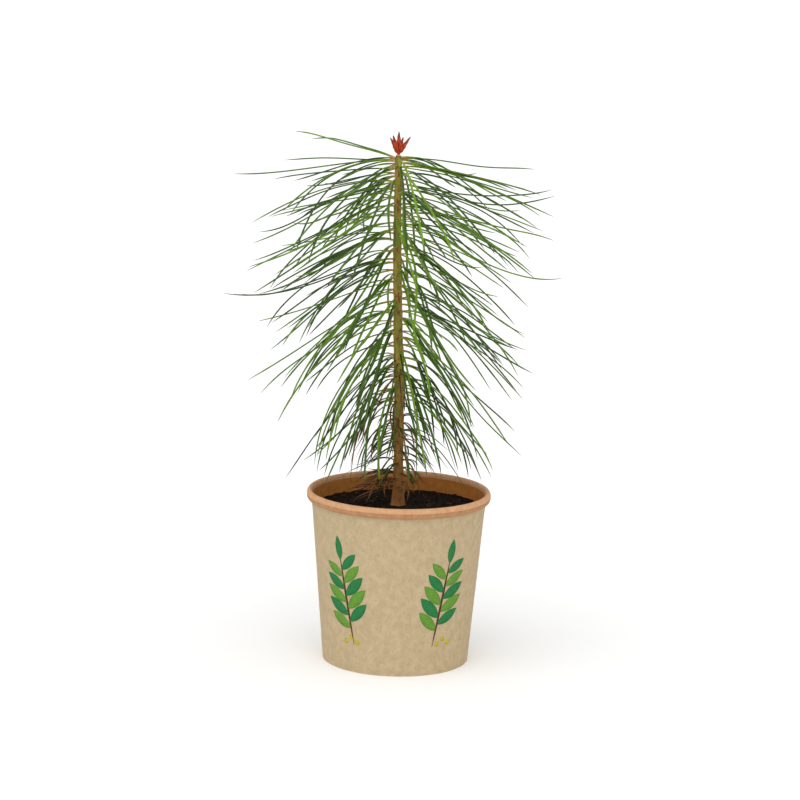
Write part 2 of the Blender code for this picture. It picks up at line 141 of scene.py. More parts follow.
@dataclass(frozen=True)
class Finish:
    """A surface that grows or is made in two tones, mottled by noise and roughened by a fine bump.

    The grains are the real sizes of its mottling, bump and flecks, and stretch draws them out along
    Z. A foot colour comes in between two heights, the upper one first.
    """

    name: str
    light: str
    dark: str
    grain: float
    roughness: float
    bump: float = 0.0
    bump_grain: float = 0.4 * MM
    bump_depth: float = 0.2 * MM
    stretch: float = 1.0
    contrast: float = 0.2
    fleck: str | None = None
    fleck_grain: float = 1.2 * MM
    fleck_share: float = 0.5
    fleck_edge: float = 0.12
    specular: float = 0.5
    foot: str | None = None
    foot_heights: Pair = (140.0 * MM, 85.0 * MM)
    foot_share: float = 0.75

    def build(self) -> bpy.types.Material:
        """Makes the material, or returns it if it is there."""
        if self.name in bpy.data.materials:
            return bpy.data.materials[self.name]
        made = bpy.data.materials.new(self.name)
        made.use_nodes = True
        tree = made.node_tree
        shader = tree.nodes["Principled BSDF"]
        shader.inputs["Roughness"].default_value = self.roughness
        shader.inputs["Specular IOR Level"].default_value = self.specular
        place = add_node(tree, "ShaderNodeTexCoord").outputs["Object"]
        scale = (1.0, 1.0, 1.0 / self.stretch)
        drawn = add_node(tree, "ShaderNodeMapping", {"Vector": place, "Scale": scale}).outputs["Vector"]
        tones = ((0.5 - self.contrast, linear(self.dark)), (0.5 + self.contrast, linear(self.light)))
        colour = add_ramp(tree, add_noise(tree, drawn, self.grain, MOTTLE_DETAIL), tones)
        if self.foot:
            colour = add_mix(tree, self.age(tree, place), colour, linear(self.foot))
        if self.fleck:
            colour = add_mix(tree, self.flecks(tree, drawn), colour, linear(self.fleck))
        tree.links.new(colour, shader.inputs["Base Color"])
        if self.bump:
            relief = add_noise(tree, drawn, self.bump_grain, RELIEF_DETAIL)
            sizes = {"Strength": self.bump, "Distance": self.bump_depth, "Height": relief}
            raised = add_node(tree, "ShaderNodeBump", sizes)
            tree.links.new(raised.outputs["Normal"], shader.inputs["Normal"])
        return made

    def age(self, tree: Tree, place: Socket) -> Socket:
        """The share of the foot's colour, by height."""
        height = add_node(tree, "ShaderNodeSeparateXYZ", {0: place}).outputs["Z"]
        inputs = {"Value": height, "To Min": 0.0, "To Max": self.foot_share}
        inputs["From Min"], inputs["From Max"] = self.foot_heights
        return add_node(tree, "ShaderNodeMapRange", inputs).outputs["Result"]

    def flecks(self, tree: Tree, place: Socket) -> Socket:
        """Where the small flecks of the third colour are."""
        spots = add_noise(tree, place, self.fleck_grain, FLECK_DETAIL)
        full = 0.5 + NOISE_SPREAD * (1 - self.fleck_share)
        return add_ramp(tree, spots, ((full - self.fleck_edge, BLACK), (full, WHITE)))


# Kraft paperboard, uncoated and pressed: matt tan and faintly clouded. Its yellow-grey flecks are drawn
# at 1.1 mm, coarser than the real fibres, which would be lost at the photograph's distance
KRAFT_OUTSIDE = Finish(
    "kraft_board_pressed", "BFAA88", "AF9A7A", 3.0 * MM, 0.88, bump=0.2, stretch=1.3, contrast=0.22,
    fleck="A59C72", fleck_grain=1.1 * MM, fleck_share=0.4, specular=0.2,
)
# The same board on the rolled rim, where rolling shows its redder core side
KRAFT_ROLLED = Finish("kraft_board_rolled", "CFA27A", "BE8E66", 2.2 * MM, 0.75, bump=0.12, specular=0.25)
# The lower half of the roll, where it turns back under to the wall: the rolled board darkened with painted
# shade under the roll
KRAFT_LIP_PAINTED_SHADE = Finish("kraft_board_lip_painted_shade", "B88A60", "A27450", 2.2 * MM, 0.8, bump=0.12, specular=0.2)
# Its coated inner side, which is browner and a little shinier
KRAFT_INSIDE = Finish(
    "kraft_board_coated", "C07C34", "A46424", 2.4 * MM, 0.5, bump=0.12, bump_grain=0.5 * MM,
    contrast=0.25, specular=0.3,
)
# Potting compost, sieved and damp: nearly black crumbs with browner fibres
COMPOST = Finish(
    "compost_damp", "20140C", "090604", 2.4 * MM, 0.95, bump=0.8, bump_grain=0.9 * MM, specular=0.1
)
CRUMB = Finish(
    "compost_crumb", "2C1C11", "0C0805", 1.2 * MM, 0.95, bump=0.6, bump_grain=0.5 * MM, contrast=0.25,
    specular=0.1,
)
CHIP = Finish(
    "compost_bark_chip", "6A4528", "33200F", 1.0 * MM, 0.9, bump=0.4, bump_grain=0.5 * MM, contrast=0.3,
    specular=0.1,
)
# Young bark, grown: olive skin going red-brown towards the foot, streaked along the stem and scarred
BARK = Finish(
    "young_bark_grown", "9C8A38", "4E6A1C", 3.6 * MM, 0.6, bump=0.5, bump_grain=0.5 * MM, stretch=2.6,
    contrast=0.16, fleck="7A3E1C", specular=0.25, foot="94542C",
)
SCAR = Finish("leaf_scar_grown", "94582C", "5A2C16", 0.9 * MM, 0.75, bump=0.4, contrast=0.3)
# Papery sheaths round the needles' feet, grown and dried tan
SHEATH = Finish(
    "needle_sheath_papery", "C8A468", "9A6A3C", 1.0 * MM, 0.8, bump=0.3, stretch=2.0, contrast=0.25
)
# Resinous bud scales, grown: orange-red and glossier than bark, dark where they dry
BUD = Finish(
    "bud_scale_resinous", "D0502A", "86260F", 1.3 * MM, 0.42, bump=0.3, stretch=2.0, contrast=0.22,
    specular=0.3,
)
BUD_TIP = Finish("bud_tip_dried", "A23C20", "54190C", 0.9 * MM, 0.5, bump=0.3, contrast=0.25)
# Living needles, grown: waxy skin, each needle one of several greens, paler at its foot
GREENS = tuple(
    Finish(f"needle_green_{i}", light, dark, 5.0 * MM, 0.45, contrast=0.25, specular=0.25)
    for i, (light, dark) in enumerate((
        ("648A16", "3E600C"),
        ("4E7412", "304E0A"),
        ("7CA020", "527A10"),
        ("3A5C10", "223C08"),
        ("6E9020", "48680E"),
        ("48641C", "2A420E"),
    ))
)
NEEDLE_FOOT = Finish("needle_foot_pale", "96AA3A", "6E8C24", 2.0 * MM, 0.5, contrast=0.25, specular=0.25)
NEEDLE_TIP = Finish("needle_tip_dry", "56542C", "34381C", 1.5 * MM, 0.6, contrast=0.25, specular=0.2)
JUVENILE_GREEN = Finish(
    "juvenile_needle_green", "4E661E", "2C4212", 2.0 * MM, 0.55, contrast=0.25, specular=0.2
)
JUVENILE_BROWN = Finish(
    "juvenile_needle_dried", "825630", "462A14", 2.0 * MM, 0.75, contrast=0.25, specular=0.2
)
# Water-based inks printed on kraft: flat, with the board's tooth showing through
INKS = tuple(
    Finish(f"ink_{part}_printed", light, dark, 0.8 * MM, 0.85, contrast=0.3, specular=0.2)
    for part, light, dark in (
        ("leaf", "2F8246", "1F6236"),
        ("light_leaf", "6E9C3A", "4E7C2C"),
        ("twig", "62382C", "40241A"),
        ("berry", "CDBC34", "94902A"),
    )
)
# The studio's matt paper floor
PAPER_FLOOR = Finish("studio_paper_matt", "FFFFFF", "FFFFFF", 40 * MM, 0.95, specular=0.0)


def round_point(radius: float, turn: float, height: float, centre: Pair = (0.0, 0.0)) -> Point:
    """The point at a distance from an upright axis, a turn about it in radians, and a height."""
    return (centre[0] + radius * math.cos(turn), centre[1] + radius * math.sin(turn), height)


def turn_between(turn: float | Points, other: float) -> float | Points:
    """How far a turn is from another, in degrees from -180 to 180."""
    return (turn - other + 180) % 360 - 180


def circle_points(sides: int) -> Points:
    """A round outline of that many points, across and over, of radius 1."""
    turns = 2 * math.pi * np.arange(sides) / sides
    return np.stack([np.cos(turns), np.sin(turns)], axis=1)


def lengths_along(path: Points) -> Points:
    """How far along a path each of its points is."""
    return np.concatenate([[0.0], np.cumsum(np.linalg.norm(np.diff(path, axis=0), axis=1))])


def ring_faces(rings: int, sides: int, closed: bool = False) -> list[tuple[int, ...]]:
    """The faces that join each ring of points to the next, and the last to the first if closed."""
    faces = []
    for i in range(rings if closed else rings - 1):
        here, there = i * sides, (i + 1) % rings * sides
        for j in range(sides):
            k = (j + 1) % sides
            faces.append((here + j, here + k, there + k, there + j))
    return faces


def end_faces(rings: int, sides: int) -> list[tuple[int, ...]]:
    """The two faces that close the first and the last ring of points."""
    return [tuple(range(sides))[::-1], tuple(range((rings - 1) * sides, rings * sides))]


def add_object(name: str, data: bpy.types.ID) -> Piece:
    """Adds an object with its data to the scene."""
    made = bpy.data.objects.new(name, data)
    bpy.context.scene.collection.objects.link(made)
    return made


def evaluated_mesh(made: Piece) -> bpy.types.Mesh:
    """The mesh that an object's modifiers give."""
    graph = bpy.context.evaluated_depsgraph_get()
    return bpy.data.meshes.new_from_object(made.evaluated_get(graph))


class MeshMaker:
    """Collects points and faces of many small shapes, and makes them one mesh object."""

    def __init__(self) -> None:
        """Starts empty."""
        self.points: list[Points] = []
        self.faces: list[tuple[int, ...]] = []
        self.finishes: list[int] = []
        self.count = 0

    def add(self, points: Points, faces: Iterable[Sequence[int]], finish: int | Sequence[int] = 0) -> None:
        """Adds one shape.

        Args:
            points: Its points, one row each.
            faces: Its faces, as indices into the points.
            finish: The material index of all its faces, or of each.
        """
        shape = [tuple(int(i) + self.count for i in face) for face in faces]
        self.faces += shape
        self.finishes += [finish] * len(shape) if isinstance(finish, int) else list(finish)
        self.points.append(np.asarray(points, float))
        self.count += len(points)

    def sweep(
        self, path: Points, sides: Points, outline: Points, widths: Sequence[float], finish: Sequence[int]
    ) -> None:
        """Adds an outline drawn along a path, closed at both ends.

        Args:
            path: The points it follows.
            sides: A level sideways direction at each point.
            outline: The outline's points, across and over, for a width of 1.
            widths: The outline's size at each point.
            finish: The material index of each stretch between points.
        """
        along = np.gradient(path, axis=0)
        along /= np.linalg.norm(along, axis=1)[:, None]
        over = np.cross(along, sides)
        sizes = np.asarray(widths, float)[:, None, None]
        ring = outline[None, :, :1] * sides[:, None] + outline[None, :, 1:] * over[:, None]
        points = (path[:, None] + sizes * ring).reshape(-1, 3)
        n, stations = len(outline), len(path)
        faces = ring_faces(stations, n) + end_faces(stations, n)
        self.add(points, faces, [*np.repeat(finish, n).tolist(), finish[0], finish[-1]])

    def build(self, name: str, finishes: Sequence[Finish], sharp: float = 50.0) -> Piece:
        """Makes the object.

        Args:
            name: Its name.
            finishes: Its materials, in the order of the indices.
            sharp: Edges that turn more than this many degrees stay sharp.

        Returns:
            The object, at the origin.
        """
        mesh = bpy.data.meshes.new(name)
        mesh.from_pydata(np.concatenate(self.points).tolist(), [], self.faces)
        for finish in finishes:
            mesh.materials.append(finish.build())
        mesh.polygons.foreach_set("material_index", self.finishes)
        form = bmesh.new()
        form.from_mesh(mesh)
        bmesh.ops.recalc_face_normals(form, faces=form.faces)
        form.to_mesh(mesh)
        form.free()
        mesh.shade_smooth()
        mesh.set_sharp_from_angle(angle=math.radians(sharp))
        return add_object(name, mesh)


# A needle's section, flat on one side, across and over for a half width of 1
HALF_ROUND = np.array([(-1.0, 0.35), (-0.72, -0.45), (0.0, -0.78), (0.72, -0.45), (1.0, 0.35)])


@dataclass
class Stem:
    """The single stem: its lean, sway, thinning and flared foot, and the bark's relief."""

    soil: float = 76.6 * MM
    foot: float = 76.9 * MM
    tip: float = 247.9 * MM
    base_radius: float = 2.25 * MM
    thinning: float = 0.9 * MM
    thinning_power: float = 2.5
    flare: float = 1.6 * MM
    flare_height: float = 5.5 * MM
    start_x: float = -0.4 * MM
    lean_x: float = -3.7 * MM
    lean_y: float = -1.5 * MM
    sway: float = 0.45 * MM
    sides: int = 48
    rings: int = 420
    cushion_rise: float = 0.42 * MM
    cushion_width: float = 0.75 * MM
    cushion_run: float = 3.4 * MM
    cushion_top: float = 6.0
    scar_rise: float = 0.8
    tip_run: float = 1.2 * MM
    flutes: int = 5
    flute_depth: float = 0.03
    flute_twist: float = 9.0 * MM

    def up(self, height: float) -> float:
        """Share of the stem's height, 0 on the compost and 1 at its tip."""
        return min(max((height - self.soil) / (self.tip - self.soil), 0.0), 1.0)

    def centre(self, height: float) -> Pair:
        """Where the stem's middle is at a height."""
        up = self.up(height)
        return (self.start_x + self.lean_x * up + self.sway * math.sin(2 * math.pi * up), self.lean_y * up)

    def radius(self, height: float) -> float:
        """The stem's radius at a height."""
        flare = self.flare * math.exp(-max(height - self.soil, 0.0) / self.flare_height)
        return self.base_radius - self.thinning * self.up(height) ** self.thinning_power + flare

    def build(self, roots: Sequence[Pair]) -> Piece:
        """Makes the bark, with a cushion running down from each needle's root.

        Args:
            roots: The turn about the stem, in radians, and the height of each root.

        Returns:
            The bark's object.
        """
        heights = np.linspace(self.foot, self.tip, self.rings)
        turns = 2 * math.pi * np.arange(self.sides) / self.sides
        grid_turn, grid_height = np.meshgrid(turns, heights)
        radii = np.array([self.radius(h) for h in heights])[:, None] * np.ones_like(grid_turn)
        raised = np.zeros_like(grid_turn)
        for turn, height in roots:
            round_it = (grid_turn - turn + math.pi) % (2 * math.pi) - math.pi
            across = round_it * radii / self.cushion_width
            below = (height - grid_height) / self.cushion_run
            run = np.where(below > 0, np.exp(-below), np.exp(below * self.cushion_top))
            raised = np.maximum(raised, np.exp(-(across**2)) * run)
        closing = np.clip((self.tip - grid_height) / self.tip_run, 0, 1)
        out = radii + self.cushion_rise * raised * closing
        out *= 1.0 + self.flute_depth * np.sin(self.flutes * grid_turn + grid_height / self.flute_twist)
        centres = np.array([self.centre(h) for h in heights])
        level = (centres[:, :1] + out * np.cos(grid_turn), centres[:, 1:] + out * np.sin(grid_turn))
        points = np.stack([*level, grid_height], axis=-1).reshape(-1, 3)
        maker = MeshMaker()
        faces = ring_faces(self.rings, self.sides) + end_faces(self.rings, self.sides)
        marks = (raised[:-1] > self.scar_rise).astype(int).ravel().tolist()
        maker.add(points, faces, [*marks, 0, 0])
        return maker.build("stem_bark", (BARK, SCAR))


@dataclass
class Needle:
    """One needle: the path of its middle, the root it grows from, and its tone."""

    path: Points
    sides: Points
    turn: float
    height: float
    tone: int


@dataclass
class NeedleRule:
    """The seeded rule that places the needles, the same as the solids' own."""

    stem: Stem
    seed: int = 7
    crown_foot: float = 127.0 * MM
    crown_top: float = 247.2 * MM
    fascicles: int = 112
    golden_angle: float = 137.508
    crowding: float = 1.25
    length: float = 80.0 * MM
    shortest: float = 0.62
    length_power: float = 0.6
    low_shorter: float = 0.82
    full_length_above: float = 0.4
    slope_low: float = -71.0
    slope_high: float = -24.0
    slope_power: float = 0.5
    start_low: float = 2.0
    start_high: float = 5.0
    arch: float = 12.0 * MM
    curl: float = -11.0
    flick_share: float = 0.07
    flick: float = 32.0
    slope_scatter: float = 9.5
    start_scatter: float = 9.0
    sweep_scatter: float = 13.0
    curl_scatter: float = 13.0
    heading_share: float = 0.35
    sweep_share: float = 0.9
    pair_spread: float = 8.0
    pair_narrowest: float = 0.4
    pair_step: float = 0.8 * MM
    parting: float = 16.0
    front: float = 270.0
    tries: int = 12
    path_steps: int = 24
    sectors: int = 8
    tiers: tuple[str, ...] = ("lower", "middle", "top")
    tress_slope: float = 6.0
    tress_turn: float = 12.0
    tress_pull: float = 0.55
    space_margin: float = 0.8 * MM
    near_stem: float = 7.0 * MM
    needle_radius: float = 0.6 * MM
    lowest_tip: float = 89.0 * MM
    boundary_length: float = 110.0 * MM
    gap: float = 0.3 * MM
    cushion_depth: float = 0.8 * MM
    stops: tuple[float, ...] = (0.0, 0.11, 0.3, 0.62, 1.0)
    # The root's height in millimetres, the turn, start, slope and curl in degrees, the length in millimetres
    leaders: tuple[tuple[float, ...], ...] = (
        (246.4, 140, 14, 8, -6, 66),
        (246.0, 186, 2, -12, 14, 77),
        (246.4, 22, 2, -6, -2, 70),
        (244.6, 340, 2, -12, -2, 71),
        (219.0, 352, -6, -42, 56, 84),
        (198.0, 186, 4, -30, 36, 84),
        (147.0, 174, -18, -52, -6, 80),
        (160.0, 5, -16, -54, 12, 84),
    )
    juveniles: int = 44
    juvenile_foot: float = 84.0 * MM
    juvenile_top: float = 122.0 * MM
    juvenile_sectors: int = 4
    juvenile_radius: float = 0.33 * MM
    juvenile_arch: float = 8.0 * MM
    juvenile_shortest: float = 13.0 * MM
    juvenile_longest: float = 30.0 * MM
    juvenile_reach: float = 30.0 * MM
    juvenile_drop: float = 1.3
    juvenile_low: float = 0.8
    juvenile_gain: float = 0.4
    juvenile_turn: float = 25.0
    juvenile_sweep: float = 40.0
    juvenile_start: Pair = (-10.0, 35.0)
    juvenile_slope: Pair = (-86.0, -48.0)
    juvenile_curl: float = 20.0
    juvenile_stops: tuple[float, ...] = (0.0, 0.3, 0.62, 1.0)
    soil_clearance: float = 1.5 * MM
    # Extra needles that only the looks have: the spans are what each draw is taken from. A shape is
    # the sweep, start, slope and curl that path() takes, and the drop and shift are in millimetres.
    fine_seed: int = 23
    fine_shares: tuple[float, ...] = (0.1, 0.3, 0.35)
    fine_pull: Pair = (0.72, 0.96)
    fine_swing: Pair = (-9.0, 9.0)
    fine_drop: Pair = (-6.0, 3.0)
    fine_shift: Pair = (-1.2, 1.2)
    juvenile_share: float = 1.0
    juvenile_pull: Pair = (0.9, 1.4)
    strand_count: int = 30
    strand_height: Pair = (112.0 * MM, 150.0 * MM)
    strand_length: Pair = (0.5, 0.95)
    strand_shape: tuple[Pair, ...] = ((-50.0, 50.0), (-10.0, 30.0), (-88.0, -66.0), (-8.0, 30.0))
    tuft_count: int = 22
    tuft_mass: str = "juvenile_needles_2"
    tuft_turn: Pair = (120.0, 215.0)
    tuft_height: Pair = (84.0 * MM, 94.0 * MM)
    tuft_length: Pair = (13.0 * MM, 27.0 * MM)
    tuft_shape: tuple[Pair, ...] = ((-35.0, 35.0), (-5.0, 30.0), (-45.0, -5.0), (-20.0, 25.0))
    wave_size: float = 1.5 * MM
    wave_turns: Pair = (0.5, 1.3)
    wave_share: Pair = (0.3, 1.0)
    juvenile_wave: float = 0.4
    masses: dict[str, list[Needle]] = field(default_factory=dict)
    placed: dict[str, list[tuple[tuple[Points, Points], float]]] = field(default_factory=dict)

    def __post_init__(self) -> None:
        """Sets up the draws and the surfaces between tiers."""
        self.draw = random.Random(self.seed)
        self.tones = random.Random(self.fine_seed)
        self.surfaces = self.boundaries()

    def up_the_crown(self, height: float) -> float:
        """Share of the crown's height that a needle roots at."""
        return min(max((height - self.crown_foot) / (self.crown_top - self.crown_foot), 0.0), 1.0)

    def usual_slope(self, up: float) -> float:
        """The slope that needles rooted there settle to."""
        return self.slope_low + (self.slope_high - self.slope_low) * up**self.slope_power

    def usual_start(self, up: float) -> float:
        """The slope that needles rooted there leave the stem at."""
        return self.start_low + (self.start_high - self.start_low) * up

    def path(
        self,
        root: Sequence[float],
        heading: float,
        sweep: float,
        start: float,
        slope: float,
        curl: float,
        length: float,
        arch: float | None = None,
    ) -> tuple[Points, Points]:
        """Draws a needle: it leaves at one slope, arches to another, and curls towards its tip.

        Args:
            root: Where it starts.
            heading: Its turn about the stem, in degrees.
            sweep: How far it swings sideways by its tip.
            start: Its slope at the root, in degrees above level.
            slope: The slope it settles to.
            curl: The slope that the tip adds.
            length: Its length.
            arch: The length that the bend takes.

        Returns:
            Its points, and a level sideways direction at each.
        """
        share = (np.arange(self.path_steps) + 0.5) / self.path_steps
        bend = self.arch if arch is None else arch
        pitch = np.radians(slope + (start - slope) * np.exp(-share * length / bend) + curl * share**2)
        turn = np.radians(heading + sweep * share)
        steps = np.stack([np.cos(pitch) * np.cos(turn), np.cos(pitch) * np.sin(turn), np.sin(pitch)], axis=1)
        points = np.vstack([[root], np.asarray(root) + np.cumsum(steps * length / self.path_steps, axis=0)])
        ends = np.concatenate([turn[:1], turn])
        return points, np.stack([-np.sin(ends), np.cos(ends), np.zeros_like(ends)], axis=1)

    def cushion_point(self, turn: float, height: float) -> Point:
        """The middle of the solids' cushion at that turn about the stem."""
        radius = self.stem.radius(height) + self.gap + self.cushion_depth / 2
        return round_point(radius, turn, height, self.stem.centre(height))

    def boundaries(self) -> list[tuple[Points, Points]]:
        """The drooping surfaces between tiers, each as distances from the stem and heights."""
        found = []
        for tier in range(1, len(self.tiers)):
            up = tier / len(self.tiers)
            height = self.crown_foot + (self.crown_top - self.crown_foot) * up
            root = (self.stem.radius(height), 0.0, height)
            line, _ = self.path(
                root, 0.0, 0.0, self.usual_start(up), self.usual_slope(up), self.curl, self.boundary_length
            )
            found.append((line[:, 0], line[:, 2]))
        return found

    def from_stem(self, path: Points) -> tuple[Points, Points]:
        """Distance from the stem and turn about it, in degrees, of each point of a path."""
        centres = np.array([self.stem.centre(height) for height in path[:, 2]])
        away = path[:, :2] - centres
        return np.hypot(away[:, 0], away[:, 1]), np.degrees(np.arctan2(away[:, 1], away[:, 0]))

    def in_sector(self, path: Points, sector: int, sectors: int) -> bool:
        """Whether a path keeps to its sector once it is away from the stem."""
        distance, turn = self.from_stem(path)
        width = 360.0 / sectors
        off_middle = np.abs(turn_between(turn, (sector + 0.5) * width))
        to_side = distance * np.sin(np.radians(width / 2 - off_middle))
        return not (to_side[distance > self.near_stem] < self.space_margin).any()

    def in_tier(self, path: Points, tier: int) -> bool:
        """Whether a path keeps between the surfaces under and over its tier."""
        distance, _ = self.from_stem(path)
        far = distance > self.near_stem
        height = path[far, 2]
        if tier < len(self.surfaces):
            roof = np.interp(distance[far], *self.surfaces[tier])
            if (height > roof - self.space_margin).any():
                return False
        if tier > 0:
            floor = np.interp(distance[far], *self.surfaces[tier - 1])
            if (height < floor + self.space_margin).any():
                return False
        return bool(path[:, 2].min() > self.lowest_tip)

    def is_clear(self, path: Points, radius: float, mass: str) -> bool:
        """Whether a path stays a gap away from the needles placed in other masses."""
        placed = [item for name, items in self.placed.items() if name != mass for item in items]
        if not placed:
            return True
        start = path[:-1, None]
        along = (path[1:] - path[:-1])[:, None]
        other = np.array([segment for segment, _ in placed])[None]
        other_start, other_along = other[:, :, 0], other[:, :, 1] - other[:, :, 0]
        between = start - other_start
        a = (along * along).sum(-1)
        b = (along * other_along).sum(-1)
        c = (along * between).sum(-1)
        e = (other_along * other_along).sum(-1)
        f = (other_along * between).sum(-1)
        s = np.clip((b * f - c * e) / np.maximum(a * e - b * b, NEAR_ZERO), 0, 1)
        t = np.clip((b * s + f) / e, 0, 1)
        s = np.clip((b * t - c) / a, 0, 1)
        nearest = np.linalg.norm(between + s[..., None] * along - t[..., None] * other_along, axis=-1)
        needed = radius + self.gap + np.array([other_radius for _, other_radius in placed])
        return bool((nearest >= needed).all())

    def accept(
        self, mass: str, path: tuple[Points, Points], turn: float, height: float, juvenile: bool = False
    ) -> bool:
        """Keeps the needle if it clears those of every other mass.

        Args:
            mass: The mass it would be in.
            path: Its points and sideways directions.
            turn: Its own turn about the stem, in degrees.
            height: The height of its root.
            juvenile: Whether it is one of the short ones at the foot.

        Returns:
            Whether it was kept.
        """
        stops = self.juvenile_stops if juvenile else self.stops
        radius = self.juvenile_radius if juvenile else self.needle_radius
        points = path[0][[round(stop * self.path_steps) for stop in stops]]
        if not self.is_clear(points, radius, mass):
            return False
        needle = Needle(path[0], path[1], math.radians(turn), height, self.tones.randrange(len(GREENS)))
        self.masses.setdefault(mass, []).append(needle)
        segments = [((a, b), radius) for a, b in zip(points, points[1:])]
        self.placed.setdefault(mass, []).extend(segments)
        return True

    def grow_leaders(self) -> None:
        """Places the few needles that reach furthest."""
        for height, turn, start, slope, curl, length in self.leaders:
            sector = int(turn // (360 / self.sectors))
            tier = min(int(self.up_the_crown(height * MM) * len(self.tiers)), len(self.tiers) - 1)
            middle = math.radians((sector + 0.5) * 360 / self.sectors)
            root = self.cushion_point(middle, height * MM)
            path = self.path(root, turn, 0.0, start, slope, curl, length * MM)
            self.accept(f"needles_{self.tiers[tier]}_{sector + 1}", path, turn, height * MM)

    def grow_long_needles(self) -> None:
        """Places pairs of needles in a spiral down the stem."""
        tresses = {
            (sector, tier): (
                self.draw.uniform(-1, 1) * self.tress_slope,
                self.draw.uniform(-1, 1) * self.tress_turn,
            )
            for sector in range(self.sectors)
            for tier in range(len(self.tiers))
        }
        for k in range(self.fascicles):
            height = self.crown_top - (self.crown_top - self.crown_foot) * (
                (k + 0.5) / self.fascicles
            ) ** self.crowding
            turn = (k * self.golden_angle) % 360.0
            off_front = turn_between(turn, self.front)
            if abs(off_front) < 90:
                turn = (turn + self.parting * math.sin(math.radians(2 * off_front))) % 360
            sector = int(turn // (360.0 / self.sectors)) % self.sectors
            up = self.up_the_crown(height)
            tier = min(int(up * len(self.tiers)), len(self.tiers) - 1)
            mass = f"needles_{self.tiers[tier]}_{sector + 1}"
            for hand in (1, -1):
                for _ in range(self.tries):
                    path = self.long_needle(turn, height, up, sector, tresses[sector, tier], hand)
                    keeps = self.in_sector(path[0], sector, self.sectors) and self.in_tier(path[0], tier)
                    if keeps and self.accept(mass, path, turn, height):
                        break

    def long_needle(
        self, turn: float, height: float, up: float, sector: int, tress: Pair, hand: int
    ) -> tuple[Points, Points]:
        """Draws one long needle.

        Args:
            turn: Its turn about the stem, in degrees.
            height: The height of its root.
            up: Its share of the crown's height.
            sector: The sector it is in.
            tress: The slope and turn that its mass is drawn towards.
            hand: 1 or -1, for the two needles of a pair.

        Returns:
            Its points and sideways directions.
        """
        draw = self.draw
        middle = (sector + 0.5) * 360.0 / self.sectors
        slope = self.usual_slope(up) + tress[0] + draw.gauss(0, self.slope_scatter)
        start = self.usual_start(up) + draw.gauss(0, self.start_scatter)
        to_tress = turn_between(middle + tress[1], turn)
        spread = hand * self.pair_spread * draw.uniform(self.pair_narrowest, 1)
        heading = turn + self.heading_share * self.tress_pull * to_tress + spread
        sweep = self.sweep_share * self.tress_pull * to_tress + draw.gauss(0, self.sweep_scatter)
        curl = draw.gauss(self.curl, self.curl_scatter) + (
            self.flick if draw.random() < self.flick_share else 0.0
        )
        share = self.shortest + (1 - self.shortest) * draw.random() ** self.length_power
        low = self.low_shorter + (1 - self.low_shorter) * min(1.0, up / self.full_length_above)
        root = self.cushion_point(math.radians(middle), height + hand * self.pair_step)
        return self.path(root, heading, sweep, start, slope, curl, self.length * share * low)

    def grow_juveniles(self) -> None:
        """Places the short needles that hang about the stem's foot."""
        draw = self.draw
        width = 360.0 / self.juvenile_sectors
        for k in range(self.juveniles):
            up = (k + 0.5) / self.juveniles
            height = self.juvenile_foot + (self.juvenile_top - self.juvenile_foot) * up
            turn = (k * self.golden_angle) % 360.0
            sector = int(turn // width)
            middle = math.radians((sector + 0.5) * width)
            for _ in range(self.tries):
                longest = min(self.juvenile_longest, self.juvenile_drop * (height - self.stem.soil))
                length = draw.uniform(min(self.juvenile_shortest, longest), longest)
                length *= self.juvenile_low + self.juvenile_gain * up
                path = self.path(
                    self.cushion_point(middle, height),
                    turn + draw.uniform(-self.juvenile_turn, self.juvenile_turn),
                    draw.gauss(0, self.juvenile_sweep),
                    draw.uniform(*self.juvenile_start),
                    draw.uniform(*self.juvenile_slope),
                    draw.gauss(0, self.juvenile_curl),
                    length,
                    self.juvenile_arch,
                )
                distance, _ = self.from_stem(path[0])
                low = path[0][:, 2].min()
                clear = low > self.stem.soil + self.soil_clearance and distance.max() < self.juvenile_reach
                keeps = clear and self.in_sector(path[0], sector, self.juvenile_sectors)
                if keeps and self.accept(f"juvenile_needles_{sector + 1}", path, turn, height, True):
                    break

    def in_masses(self, start: str) -> list[list[Needle]]:
        """The needles of each mass whose name starts so, in the order of the names."""
        return [needles for name, needles in sorted(self.masses.items()) if name.startswith(start)]

    def wave(self) -> None:
        """Gives each needle its own slight waves, smaller on the short ones, from a still foot."""
        draw = random.Random(self.fine_seed + 1)
        for name, needles in sorted(self.masses.items()):
            size = self.wave_size * (self.juvenile_wave if name.startswith("juvenile") else 1.0)
            for needle in needles:
                share = np.linspace(0, 1, len(needle.path))
                for way in (needle.sides, np.array([[0.0, 0.0, 1.0]])):
                    turns = draw.uniform(*self.wave_turns) * 2 * math.pi
                    start = draw.uniform(0, 2 * math.pi)
                    sway = np.sin(start + turns * share) - math.sin(start)
                    swing = size * draw.uniform(*self.wave_share) * share * sway
                    needle.path = needle.path + swing[:, None] * way

